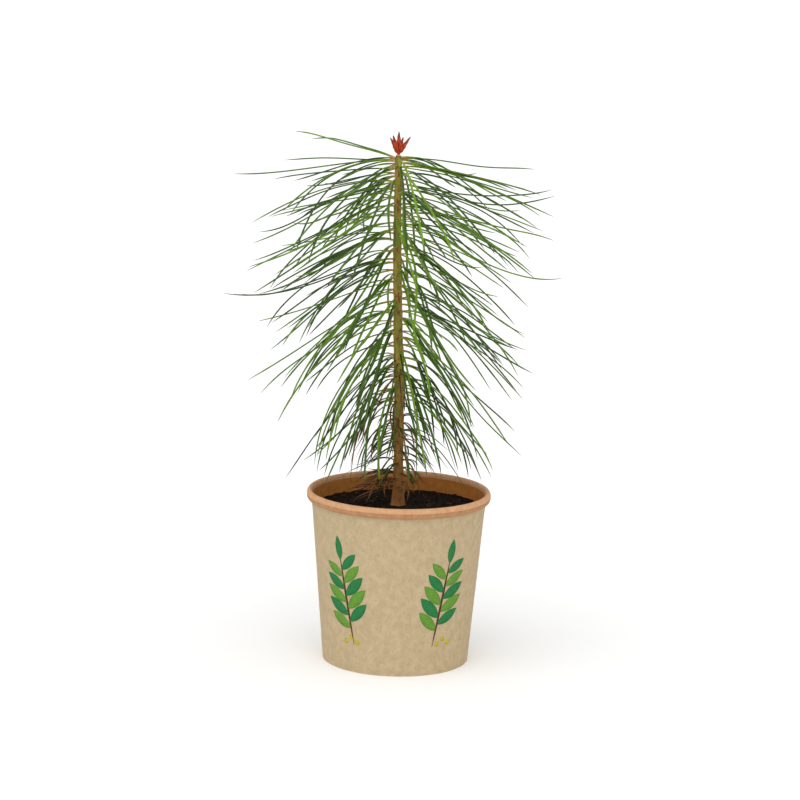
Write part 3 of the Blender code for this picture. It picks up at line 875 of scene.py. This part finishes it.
    def thicken(self) -> None:
        """Adds finer needles beside kept ones, within their mass and reach, that the solids leave out."""
        draw = random.Random(self.fine_seed)
        shares = dict(zip(self.tiers, self.fine_shares))
        for name, needles in sorted(self.masses.items()):
            juvenile = name.startswith("juvenile")
            share = self.juvenile_share if juvenile else shares[name.split("_")[1]]
            extra = []
            for needle in needles:
                if draw.random() > share:
                    continue
                pull = draw.uniform(*(self.juvenile_pull if juvenile else self.fine_pull))
                swing = math.radians(draw.uniform(*self.fine_swing))
                drop = draw.uniform(*self.fine_drop) * MM
                root = needle.path[0]
                turned = Matrix.Rotation(swing, 3, "Z")
                path = np.array([turned @ Vector(p) for p in (needle.path - root) * pull]) + root
                along = np.linspace(0, 1, len(path))
                path[:, 2] += drop * along**2 + draw.uniform(*self.fine_shift) * MM
                if path[:, 2].min() < self.stem.soil + self.soil_clearance:
                    continue
                sides = np.array([turned @ Vector(s) for s in needle.sides])
                tone = draw.randrange(len(GREENS))
                extra.append(Needle(path, sides, needle.turn + swing, needle.height, tone))
            needles += extra

    def add_loose(
        self,
        mass: str,
        turn: float,
        height: float,
        shape: Iterable[float],
        length: float,
        arch: float | None = None,
    ) -> None:
        """Adds one loose needle, unless it would reach the compost.

        Args:
            mass: The mass it is in.
            turn: Its turn about the stem, in degrees.
            height: The height of its root.
            shape: Its sweep, start, slope and curl, as path() takes them.
            length: Its length.
            arch: The length that its bend takes.
        """
        root = self.cushion_point(math.radians(turn), height)
        path, sides = self.path(root, turn, *shape, length, arch)
        if path[:, 2].min() > self.stem.soil + self.soil_clearance:
            self.masses[mass].append(Needle(path, sides, math.radians(turn), height, 0))

    def hang_strands(self) -> None:
        """Adds the weak, drooping needles that hang close to the stem under the crown."""
        draw = random.Random(self.fine_seed + 3)
        for _ in range(self.strand_count):
            turn = draw.uniform(0, 360)
            height = draw.uniform(*self.strand_height)
            length = draw.uniform(*self.strand_length) * (height - self.stem.soil)
            shape = [draw.uniform(*span) for span in self.strand_shape]
            sector = int(turn // (360.0 / self.juvenile_sectors))
            self.add_loose(f"juvenile_needles_{sector + 1}", turn, height, shape, length)

    def dry_tuft(self) -> None:
        """Adds the dried needles that spread to one side low on the stem."""
        draw = random.Random(self.fine_seed + 2)
        for _ in range(self.tuft_count):
            turn = draw.uniform(*self.tuft_turn)
            height = draw.uniform(*self.tuft_height)
            *shape, length = [draw.uniform(*span) for span in (*self.tuft_shape, self.tuft_length)]
            self.add_loose(self.tuft_mass, turn, height, shape, length, self.juvenile_arch)


@dataclass
class Crown:
    """The needles as they show: half-round, tapered, tinted from foot to tip, in papery sheaths."""

    stem: Stem
    rule: NeedleRule
    half_width: float = 0.54 * MM
    foot_width: float = 0.6
    tip_width: float = 0.04
    taper_share: float = 0.12
    taper_power: float = 0.6
    foot_share: float = 0.1
    tip_share: float = 0.95
    sink: float = 0.2 * MM
    settle: float = 16.0 * MM
    juvenile_half_width: float = 0.4 * MM
    juvenile_tip: float = 0.05
    juvenile_taper: float = 0.3
    dried_below: float = 94.0 * MM
    dried_every: int = 4
    sheath_length: float = 4.2 * MM
    sheath_radius: float = 0.38 * MM
    sheath_widths: tuple[float, ...] = (1.25, 1.05, 1.0, 0.98, 1.02, 0.86)
    sheath_sides: int = 6
    sheath_sink: float = 0.35 * MM

    def placed_path(self, needle: Needle, sink: float) -> Points:
        """Moves a needle's foot from the solids' cushion to its own place, sunk into the bark."""
        radius = self.stem.radius(needle.height) - sink
        own = np.array(round_point(radius, needle.turn, needle.height, self.stem.centre(needle.height)))
        fade = np.exp(-lengths_along(needle.path) / self.settle)
        return needle.path + (own - needle.path[0]) * fade[:, None]

    def build_tier(self, tier: str) -> Piece:
        """Makes all the long needles of one tier as one mesh."""
        maker = MeshMaker()
        foot, tip = len(GREENS), len(GREENS) + 1
        for needles in self.rule.in_masses(f"needles_{tier}"):
            for needle in needles:
                path = self.placed_path(needle, self.sink)
                share = np.linspace(0, 1, len(path))
                swell = np.clip(share / self.taper_share, 0, 1) * (1 - self.foot_width) + self.foot_width
                taper = np.clip((1.0 - share) / self.taper_share, self.tip_width, 1.0) ** self.taper_power
                marks = [
                    foot if s < self.foot_share else tip if s >= self.tip_share else needle.tone
                    for s in share[:-1]
                ]
                maker.sweep(path, needle.sides, HALF_ROUND, self.half_width * swell * taper, marks)
        return maker.build(f"long_needles_{tier}", (*GREENS, NEEDLE_FOOT, NEEDLE_TIP))

    def build_juveniles(self) -> Piece:
        """Makes the thin needles about the stem's foot, some green and some dried."""
        maker = MeshMaker()
        for needles in self.rule.in_masses("juvenile"):
            for i, needle in enumerate(needles):
                path = self.placed_path(needle, self.sink)
                left = 1.0 - np.linspace(0, 1, len(path))
                taper = np.clip(left / self.juvenile_taper, self.juvenile_tip, 1.0)
                widths = self.juvenile_half_width * taper
                dried = needle.height < self.dried_below or i % self.dried_every == 0
                maker.sweep(path, needle.sides, HALF_ROUND, widths, [int(dried)] * (len(path) - 1))
        return maker.build("juvenile_needles", (JUVENILE_GREEN, JUVENILE_BROWN))

    def build_sheaths(self) -> Piece:
        """Makes the papery sheath round each long needle's foot."""
        maker = MeshMaker()
        outline = circle_points(self.sheath_sides)
        stops = np.linspace(0, self.sheath_length, len(self.sheath_widths))
        widths = self.sheath_radius * np.array(self.sheath_widths)
        for needles in self.rule.in_masses("needles"):
            for needle in needles:
                path = self.placed_path(needle, self.sheath_sink)
                along = lengths_along(path)
                short = np.stack([np.interp(stops, along, path[:, axis]) for axis in range(3)], axis=1)
                sides = np.repeat(needle.sides[:1], len(stops), axis=0)
                maker.sweep(short, sides, outline, widths, [0] * (len(stops) - 1))
        return maker.build("needle_sheaths", (SHEATH,))


# The corners of a bud's scale, on its underside and again on top: the share of its reach that each is
# at, its place across for the half width, its distance out for the bud's width there, and the share of
# the scale's thickness that lifts it
SCALE_CORNERS = (
    (0.0, -0.7, 0.6, 0.0),
    (0.0, 0.0, 0.75, 1.0),
    (0.0, 0.7, 0.6, 0.0),
    (0.5, -0.8, 0.86, 1.0),
    (0.5, 0.0, 1.12, 1.4),
    (0.5, 0.8, 0.86, 1.0),
    (1.0, 0.0, 1.02, 0.6),
)
SCALE_TOP = ((7, 8, 11, 10), (8, 9, 12, 11), (10, 11, 13), (11, 12, 13))
SCALE_UNDERSIDE = ((3, 4, 1, 0), (4, 5, 2, 1), (6, 4, 3), (6, 5, 4))
SCALE_RIM = (0, 1, 2, 5, 6, 3)


@dataclass(frozen=True)
class Bud:
    """Where one bud starts, the way it points, and its size."""

    start: Points
    axis: Points
    radius: float
    length: float


@dataclass
class Buds:
    """The terminal bud and the side buds round it, each wrapped in pointed scales."""

    stem: Stem
    radius: float = 1.5 * MM
    length: float = 11.4 * MM
    side_count: int = 6
    side_radius: float = 1.15 * MM
    side_length: float = 10.2 * MM
    side_tilt: float = 31.0
    tilt_step: float = 3.0
    shorter_step: float = 0.12
    gap: float = 0.3 * MM
    sides: int = 14
    stations: int = 16
    foot_width: float = 0.6
    fullest: float = 0.3
    taper_power: float = 1.1
    taper_run: float = 0.68
    core: float = 0.86
    core_tip: float = 0.03
    core_dries_at: float = 0.7
    scale_rows: int = 7
    scales_a_row: int = 5
    first_row: float = 0.04
    rows_reach: float = 0.8
    scale_reach: float = 0.24
    scale_half_width: float = 0.62
    scale_thickness: float = 0.1
    scale_tip_lift: float = 0.12
    scales_dry_at: float = 0.55

    def width_at(self, share: float) -> float:
        """A bud's width at a share of its length, 1 at its fullest."""
        grown = math.sin(min(share / self.fullest, 1.0) * math.pi / 2)
        swell = self.foot_width + (1 - self.foot_width) * grown
        return swell - max(share - self.fullest, 0.0) ** self.taper_power / self.taper_run

    def build(self) -> Piece:
        """Makes all the buds as one mesh."""
        maker = MeshMaker()
        self.add_bud(maker, self.radius, self.length, 0.0, 0.0)
        for i in range(self.side_count):
            shorter = 1.0 - self.shorter_step * (i % 2)
            tilt = math.radians(self.side_tilt + (self.tilt_step if i % 2 == 0 else -self.tilt_step))
            turn = 2 * math.pi * i / self.side_count
            self.add_bud(maker, self.side_radius, self.side_length * shorter, turn, tilt)
        return maker.build("winter_buds", (BUD, BUD_TIP))

    def add_bud(self, maker: MeshMaker, radius: float, length: float, turn: float, tilt: float) -> None:
        """Adds one bud and its scales.

        Args:
            maker: What it is added to.
            radius: Its fullest radius.
            length: Its length.
            turn: The turn that it leans to, in radians.
            tilt: How far it leans out.
        """
        out = np.array(round_point(1.0, turn, 0.0))
        side = np.array((-out[1], out[0], 0.0))
        axis = out * math.sin(tilt) + np.array((0, 0, 1.0)) * math.cos(tilt)
        foot = self.stem.tip + self.gap + radius * math.sin(tilt)
        bud = Bud(np.array((*self.stem.centre(self.stem.tip), foot)), axis, radius, length)
        share = np.linspace(0, 1, self.stations)
        path = bud.start + share[:, None] * axis * length
        widths = [radius * max(self.core * self.width_at(s), self.core_tip) for s in share]
        marks = [int(s > self.core_dries_at) for s in share[:-1]]
        maker.sweep(path, np.repeat(side[None], len(path), axis=0), circle_points(self.sides), widths, marks)
        across = np.cross(side, axis)
        for row in range(self.scale_rows):
            at = self.first_row + self.rows_reach * row / self.scale_rows
            for k in range(self.scales_a_row):
                angle = 2 * math.pi * (k + 0.5 * (row % 2)) / self.scales_a_row
                self.add_scale(maker, bud, math.cos(angle) * across + math.sin(angle) * side, at)

    def add_scale(self, maker: MeshMaker, bud: Bud, face: Points, at: float) -> None:
        """Adds one pointed, slightly lifted scale.

        Args:
            maker: What it is added to.
            bud: The bud it is on.
            face: The way the scale faces.
            at: The share of the bud's length that it starts at.
        """
        beside = np.cross(bud.axis, face)
        core = self.core * bud.radius
        half = self.scale_half_width * core * self.width_at(at)
        corners = []
        for thick in (0.0, self.scale_thickness * bud.radius):
            for reach, across, away, lift in SCALE_CORNERS:
                share = at + self.scale_reach * reach
                out = core * self.width_at(share) * away + thick * lift
                out += self.scale_tip_lift * bud.radius if reach == 1.0 else 0.0
                middle = bud.start + bud.axis * bud.length * share
                corners.append(middle + face * out + beside * half * across)
        count = len(SCALE_CORNERS)
        pairs = zip(SCALE_RIM, SCALE_RIM[1:] + SCALE_RIM[:1])
        rim = [(corner, following, following + count, corner + count) for corner, following in pairs]
        faces = [*SCALE_TOP, *SCALE_UNDERSIDE, *rim]
        maker.add(np.array(corners), faces, int(at > self.scales_dry_at))


class Board(Enum):
    """Which part of the paperboard shows, and so which finish it takes."""

    OUTSIDE = 0
    ROLLED = 1
    INSIDE = 2
    # The roll's lower half, whose darker finish is painted shade under the roll
    LIP = 3


@dataclass
class Cup:
    """The kraft-paper cup: a tapered wall with a lapped side seam under an oval rolled rim."""

    height: float = 84.6 * MM
    rim_radius: float = 45.0 * MM
    foot_radius: float = 35.7 * MM
    board: float = 0.6 * MM
    roll_half_width: float = 1.45 * MM
    roll_half_height: float = 2.5 * MM
    roll_start: float = -125.0
    roll_points: int = 52
    lip_end: float = -4.0
    crease_depth: float = 0.3 * MM
    crease_width: float = 7.0
    wall_rows: int = 12
    sides: int = 180
    seam_turn: float = 124.0
    seam_width: float = 8.0
    seam_rise: float = 0.22 * MM
    sharp: float = 35.0

    def outside(self, height: float) -> float:
        """Outer radius of the wall at a height."""
        top = self.rim_radius - 2 * self.roll_half_width + self.board
        return self.foot_radius + (top - self.foot_radius) * height / (self.height - self.roll_half_height)

    def profile(self) -> list[tuple[float, float, Board]]:
        """Radius, height and board along the wall's section, up outside, over the roll and down inside."""
        middle = (self.rim_radius - self.roll_half_width, self.height - self.roll_half_height)
        under = middle[1] + self.roll_half_height * math.sin(math.radians(self.roll_start))
        points = []
        for i in range(self.wall_rows):
            height = under * i / self.wall_rows
            points.append((self.outside(height), height, Board.OUTSIDE))
        for i in range(self.roll_points):
            degrees = self.roll_start + (180.0 - self.roll_start) * i / (self.roll_points - 1)
            turn = math.radians(degrees)
            crease = self.crease_depth * math.exp(-(((degrees - self.lip_end) / self.crease_width) ** 2))
            across = self.roll_half_width * math.cos(turn) - crease
            height = middle[1] + self.roll_half_height * math.sin(turn)
            # Below lip_end the roll takes the darker finish, which is painted shade under the roll
            board = Board.LIP if degrees < self.lip_end else Board.ROLLED
            points.append((middle[0] + across, height, board))
        points[-1] = (*points[-1][:2], Board.INSIDE)
        for i in range(1, self.wall_rows + 1):
            height = middle[1] * (1 - i / self.wall_rows)
            points.append((self.outside(height) - self.board, height, Board.INSIDE))
        return points

    def build(self) -> Piece:
        """Makes the wall and the rim."""
        maker = MeshMaker()
        rows = self.profile()
        points = []
        for radius, height, board in rows:
            for j in range(self.sides):
                turn = 360.0 * j / self.sides
                lapped = abs(turn_between(turn, self.seam_turn)) < self.seam_width / 2
                lap = self.seam_rise if lapped and board is Board.OUTSIDE and height > 0 else 0.0
                points.append(round_point(radius + lap, math.radians(turn), height))
        marks = np.repeat([board.value for _, _, board in rows], self.sides).tolist()
        maker.add(np.array(points), ring_faces(len(rows), self.sides, closed=True), marks)
        finishes = (KRAFT_OUTSIDE, KRAFT_ROLLED, KRAFT_INSIDE, KRAFT_LIP_PAINTED_SHADE)
        return maker.build("cup_wall_and_rim", finishes, self.sharp)


class SprigPart(Enum):
    """What a printed shape is, and so which ink it takes."""

    LEAF = 0
    LIGHT_LEAF = 1
    TWIG = 2
    BERRY = 3


@dataclass
class PrintedSprigs:
    """A plain printed border of broad-leaved sprigs with berries, spaced evenly round the cup."""

    cup: Cup
    count: int = 5
    first_turn: float = 232.0
    foot: float = 14.0 * MM
    tall: float = 46.0 * MM
    lean: float = 9.0
    leaf_pairs: int = 5
    leaf_length: float = 15.0 * MM
    leaf_width: float = 5.6 * MM
    leaf_angle: float = 52.0
    first_pair: float = 0.22
    pairs_reach: float = 0.7
    largest_at: float = 0.4
    smaller_away: float = 0.5
    stagger: float = 0.035
    end_leaf_at: float = 0.92
    end_leaf: Pair = (0.8, 0.75)
    twig_width: float = 1.12 * MM
    blade_steps: int = 10
    blade_end: float = 1.02
    blade_power: float = 0.75
    least_half: float = 0.05 * MM
    berry_radius: float = 1.3 * MM
    berry_sides: int = 14
    berries: tuple[Pair, ...] = ((-1.0 * MM, 1.5 * MM), (2.2 * MM, 3.7 * MM), (5.4 * MM, 1.5 * MM))
    lift: float = 0.05 * MM
    ink: float = 0.04 * MM

    def on_wall(self, turn: float, at: Vector) -> Point:
        """Lays a point of the flat drawing, across and up from a sprig's turn, just proud of the wall."""
        radius = self.cup.outside(at.y) + self.lift
        return round_point(radius, turn + at.x / radius, at.y)

    def add_blade(
        self, maker: MeshMaker, turn: float, start: Vector, way: float, size: Pair, part: SprigPart
    ) -> None:
        """Adds a leaf-shaped blade.

        Args:
            maker: What it is added to.
            turn: The sprig's middle, in radians.
            start: The blade's foot, across and up.
            way: The way it points, in radians from level.
            size: Its length and width.
            part: Which ink it takes.
        """
        ahead = Vector((math.cos(way), math.sin(way)))
        beside = Vector((-ahead.y, ahead.x))
        points = []
        for i in range(self.blade_steps + 1):
            share = i / self.blade_steps
            grown = math.sin(math.pi * min(share * self.blade_end, 1.0)) ** self.blade_power
            half = 0.5 * size[1] * grown + self.least_half
            middle = start + ahead * size[0] * share
            points += [self.on_wall(turn, middle + beside * edge) for edge in (-half, 0.0, half)]
        corners = [3 * i + j for i in range(self.blade_steps) for j in (0, 1)]
        maker.add(np.array(points), [(c, c + 1, c + 4, c + 3) for c in corners], part.value)

    def add_sprig(self, maker: MeshMaker, turn: float, lean: float) -> None:
        """Adds one sprig: its twig, paired leaves, end leaf and berries."""
        way = math.radians(90 - lean)
        ahead = Vector((math.cos(way), math.sin(way)))
        foot = Vector((-0.5 * self.tall * ahead.x, self.foot))
        self.add_blade(maker, turn, foot, way, (self.tall, self.twig_width), SprigPart.TWIG)
        for pair in range(self.leaf_pairs):
            share = self.first_pair + self.pairs_reach * pair / self.leaf_pairs
            scale = 1.0 - self.smaller_away * abs(share - self.largest_at)
            for hand in (1, -1):
                start = foot + ahead * self.tall * (share + self.stagger * hand)
                part = SprigPart.LEAF if (pair + (hand > 0)) % 2 else SprigPart.LIGHT_LEAF
                point = way - hand * math.radians(self.leaf_angle)
                size = (self.leaf_length * scale, self.leaf_width * scale)
                self.add_blade(maker, turn, start, point, size, part)
        end = foot + ahead * self.tall * self.end_leaf_at
        size = (self.leaf_length * self.end_leaf[0], self.leaf_width * self.end_leaf[1])
        self.add_blade(maker, turn, end, way, size, SprigPart.LEAF)
        for across, up in self.berries:
            self.add_berry(maker, turn, Vector((across, self.foot + up)))

    def add_berry(self, maker: MeshMaker, turn: float, middle: Vector) -> None:
        """Adds one round berry."""
        sides = self.berry_sides
        ring = [middle + self.berry_radius * Vector(point) for point in circle_points(sides)]
        points = np.array([self.on_wall(turn, at) for at in (*ring, middle)])
        maker.add(points, [(i, (i + 1) % sides, sides) for i in range(sides)], SprigPart.BERRY.value)

    def build(self) -> Piece:
        """Makes the print as one thin closed layer of ink."""
        maker = MeshMaker()
        for i in range(self.count):
            turn = math.radians(self.first_turn + 360.0 * i / self.count)
            self.add_sprig(maker, turn, self.lean if i % 2 else -self.lean)
        made = maker.build("printed_sprigs", INKS)
        thick = made.modifiers.new("ink", "SOLIDIFY")
        thick.thickness = self.ink
        thick.offset = 0.0
        made.data = evaluated_mesh(made)
        made.modifiers.clear()
        return made


@dataclass
class Compost:
    """The compost's crumbly top and its filling, with loose crumbs and chips of bark on it."""

    cup: Cup
    base: float = 1.2 * MM
    level: float = 76.6 * MM
    edge_drop: float = 0.9 * MM
    roughness: float = 1.5 * MM
    lump_grain: float = 6.0 * MM
    lump_share: float = 0.45
    fine_grain: float = 1.8 * MM
    fine_share: float = 0.4
    fine_start: Point = (7.0, 3.0, 1.0)
    settled: float = 0.25
    gap: float = 0.3 * MM
    rings: int = 44
    sides: int = 128
    level_radius: float = 5.9 * MM
    level_edge: float = 4.0 * MM
    facing_up: float = 0.2
    crumb_density: float = 300000.0
    crumb_size: float = 0.75 * MM
    crumb_flat: float = 0.8
    chip_density: float = 16000.0
    chip_size: float = 1.1 * MM
    chip_flat: float = 0.35
    # What a crumb's tilts, width, breadth and height are drawn from, for a radius of 1
    tilts: Pair = (-0.5, 0.5)
    widths: Pair = (0.5, 1.5)
    breadths: Pair = (0.4, 1.1)
    heights: Pair = (0.5, 1.2)
    seed: int = 5

    def top(self, radius: float, turn: float, edge: float) -> float:
        """Height of the crumbly top at a place."""
        place = Vector(round_point(radius, turn, 0.0))
        coarse = noise.noise(place / self.lump_grain)
        fine = noise.noise(place / self.fine_grain + Vector(self.fine_start))
        ease = min(max((radius - self.level_radius) / self.level_edge, 0.0), 1.0)
        lumps = ease * self.roughness * (self.lump_share * coarse + self.fine_share * fine)
        return self.level - self.edge_drop * radius / edge - self.settled * self.roughness * ease + lumps

    def build_bed(self) -> Piece:
        """Makes the filling and its top."""
        n = self.sides
        turns = [2 * math.pi * j / n for j in range(n)]
        edge = self.cup.outside(self.level - self.edge_drop) - self.cup.board - self.gap
        low = self.cup.outside(self.base) - self.cup.board - self.gap
        points = [round_point(low, turn, self.base) for turn in turns]
        for i in range(self.rings):
            radius = edge * (1 - i / self.rings)
            points += [round_point(radius, turn, self.top(radius, turn, edge)) for turn in turns]
        points.append((0.0, 0.0, self.level))
        last = self.rings * n
        middle = [(last + j, last + (j + 1) % n, last + n) for j in range(n)]
        maker = MeshMaker()
        maker.add(np.array(points), [end_faces(1, n)[0], *ring_faces(self.rings + 1, n), *middle])
        return maker.build("compost_bed", (COMPOST,))

    def scatter(
        self, bed: Piece, name: str, density: float, size: float, flat: float, finish: Finish
    ) -> Piece:
        """Strews small crumbs over the bed's top by Geometry Nodes, and makes them a plain mesh.

        Args:
            bed: The surface that they lie on.
            name: The new piece's name.
            density: Crumbs to a square metre.
            size: A crumb's usual radius.
            flat: A crumb's thickness for its width.
            finish: Its material.

        Returns:
            The crumbs as one object.
        """
        tree = bpy.data.node_groups.new(name + "_tree", "GeometryNodeTree")
        tree.interface.new_socket("Geometry", in_out="INPUT", socket_type="NodeSocketGeometry")
        dense = tree.interface.new_socket("Density", in_out="INPUT", socket_type="NodeSocketFloat")
        radius = tree.interface.new_socket("Crumb radius", in_out="INPUT", socket_type="NodeSocketFloat")
        tree.interface.new_socket("Geometry", in_out="OUTPUT", socket_type="NodeSocketGeometry")
        node = partial(add_node, tree)
        over = partial(node, "FunctionNodeCompare", operation="GREATER_THAN")
        random_way = partial(node, "FunctionNodeRandomValue", data_type="FLOAT_VECTOR")
        given = node("NodeGroupInput").outputs
        place = node("ShaderNodeSeparateXYZ", {0: node("GeometryNodeInputPosition").outputs[0]}).outputs
        facing = node("ShaderNodeSeparateXYZ", {0: node("GeometryNodeInputNormal").outputs[0]}).outputs
        level = node("ShaderNodeCombineXYZ", {0: place[0], 1: place[1]}).outputs[0]
        away = node("ShaderNodeVectorMath", {0: level}, operation="LENGTH").outputs["Value"]
        on_top = over({0: facing[2], 1: self.facing_up}).outputs[0]
        off_stem = over({0: away, 1: self.level_radius}).outputs[0]
        kept = node("FunctionNodeBooleanMath", {0: on_top, 1: off_stem}, operation="AND").outputs[0]
        points = node(
            "GeometryNodeDistributePointsOnFaces",
            {"Mesh": given[0], "Selection": kept, "Density": given[1], "Seed": self.seed},
        )
        crumb = node("GeometryNodeMeshIcoSphere", {"Radius": given[2], "Subdivisions": 1})
        least, most = ((tilt, tilt, turn) for tilt, turn in zip(self.tilts, (0.0, 2 * math.pi)))
        spin = random_way({0: least, 1: most, "Seed": self.seed + 1})
        least, most = (
            (width, breadth, height * flat)
            for width, breadth, height in zip(self.widths, self.breadths, self.heights)
        )
        stretch = random_way({0: least, 1: most, "Seed": self.seed + 2})
        laid = node(
            "GeometryNodeInstanceOnPoints",
            {
                "Points": points.outputs["Points"],
                "Instance": crumb.outputs["Mesh"],
                "Rotation": spin.outputs[0],
                "Scale": stretch.outputs[0],
            },
        )
        real = node("GeometryNodeRealizeInstances", {0: laid.outputs[0]}).outputs[0]
        dressed = node("GeometryNodeSetMaterial", {"Geometry": real, "Material": finish.build()})
        node("NodeGroupOutput", {0: dressed.outputs[0]})
        strewn = add_object(name + "_source", bed.data)
        modifier = strewn.modifiers.new("scatter", "NODES")
        modifier.node_group = tree
        modifier[dense.identifier] = density
        modifier[radius.identifier] = size
        made = add_object(name, evaluated_mesh(strewn))
        bpy.data.objects.remove(strewn)
        return made


@dataclass
class Studio:
    """The pale floor, the soft lights and the camera at the photograph's angle."""

    lens: float = 127.63
    sensor: float = 36.0
    distance: float = 1377.6 * MM
    elevation: float = 10.79
    roll: float = 1.39
    aim: Point = (-0.55 * MM, 0.0, 128.9 * MM)
    nearest: float = 0.05
    floor_size: float = 40.0
    sky: float = 0.8
    lights: tuple[tuple[str, Point, float, float], ...] = (
        ("key_light", (-0.7, -1.3, 1.6), 1.0, 80.0),
        ("fill_light", (1.0, -1.4, 0.8), 0.5, 100.0),
    )
    light_aim: Point = (0.0, 0.0, 0.12)

    def build(self) -> None:
        """Makes the floor, the world, the lights and the camera."""
        scene = bpy.context.scene
        scene.view_settings.view_transform = "Standard"
        maker = MeshMaker()
        half = self.floor_size / 2
        corners = np.array([(-half, -half, 0), (half, -half, 0), (half, half, 0), (-half, half, 0)], float)
        maker.add(corners, [(0, 1, 2, 3)])
        maker.build("studio_floor", (PAPER_FLOOR,))
        world = bpy.data.worlds.new("studio_world")
        scene.world = world
        world.use_nodes = True
        sky = world.node_tree.nodes["Background"]
        sky.inputs["Color"].default_value = WHITE
        sky.inputs["Strength"].default_value = self.sky
        for name, place, strength, soft in self.lights:
            self.add_light(name, Vector(place), strength, soft)
        self.add_camera()

    def add_light(self, name: str, place: Vector, strength: float, soft: float) -> None:
        """Adds one broad distant light that faces the plant.

        Args:
            name: Its name.
            place: The way it comes from.
            strength: Its strength.
            soft: Its apparent width in degrees.
        """
        data = bpy.data.lights.new(name, "SUN")
        data.energy = strength
        data.angle = math.radians(soft)
        lamp = add_object(name, data)
        lamp.location = place
        lamp.rotation_euler = (Vector(self.light_aim) - place).to_track_quat("-Z", "Y").to_euler()

    def add_camera(self) -> None:
        """Adds the camera."""
        data = bpy.data.cameras.new("camera")
        data.lens = self.lens
        data.sensor_width = self.sensor
        data.clip_start = self.nearest
        camera = add_object("camera", data)
        rise = math.radians(self.elevation)
        back = Vector((0.0, -math.cos(rise), math.sin(rise)))
        tilt = Matrix.Rotation(math.radians(90 - self.elevation), 4, "X")
        roll = Matrix.Rotation(math.radians(self.roll), 4, "Z")
        camera.matrix_world = Matrix.Translation(Vector(self.aim) + back * self.distance) @ tilt @ roll
        bpy.context.scene.camera = camera


def place(piece: Piece, slot: str, *nodes: str) -> None:
    """Attaches a finished piece to the body, and hides the solids that it stands for.

    Args:
        piece: The piece.
        slot: The record's material slot. It is not used.
        *nodes: The solids that it stands for.
    """
    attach(piece, BODY)
    if nodes:
        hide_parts(*nodes)
    LOG.info("%s: %d faces", piece.name, len(piece.data.polygons))


def main() -> None:
    logging.basicConfig(level=logging.INFO, format="%(message)s")
    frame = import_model()
    Studio().build()
    stem = Stem()
    rule = NeedleRule(stem)
    rule.grow_leaders()
    rule.grow_long_needles()
    rule.grow_juveniles()
    nodes = set(frame["nodes"])
    missing = nodes ^ (set(rule.masses) | {"cup_wall", "cup_base", "soil", "stem", "bud_cluster"})
    if missing:
        raise ValueError(f"the rule and the solids differ in {sorted(missing)}")
    rule.thicken()
    rule.hang_strands()
    rule.dry_tuft()
    rule.wave()
    roots = [(needle.turn, needle.height) for needles in rule.masses.values() for needle in needles]
    place(stem.build(roots), "green_bark", "stem")
    crown = Crown(stem, rule)
    for tier in rule.tiers:
        masses = sorted(name for name in nodes if name.startswith(f"needles_{tier}"))
        place(crown.build_tier(tier), "needles", *masses)
    place(crown.build_juveniles(), "juvenile_needles", *sorted(n for n in nodes if n.startswith("juvenile")))
    place(crown.build_sheaths(), "green_bark")
    place(Buds(stem).build(), "bud_scales", "bud_cluster")
    cup = Cup()
    place(cup.build(), "kraft_board", "cup_wall")
    place(PrintedSprigs(cup).build(), "kraft_board")
    base = frame["nodes"]["cup_base"]
    base.data.materials.clear()
    base.data.materials.append(KRAFT_OUTSIDE.build())
    compost = Compost(cup)
    bed = compost.build_bed()
    crumbs = compost.scatter(
        bed, "compost_crumbs", compost.crumb_density, compost.crumb_size, compost.crumb_flat, CRUMB
    )
    chips = compost.scatter(
        bed, "compost_bark_chips", compost.chip_density, compost.chip_size, compost.chip_flat, CHIP
    )
    place(bed, "compost", "soil")
    place(crumbs, "compost")
    place(chips, "compost")


if __name__ == "__main__":
    main()
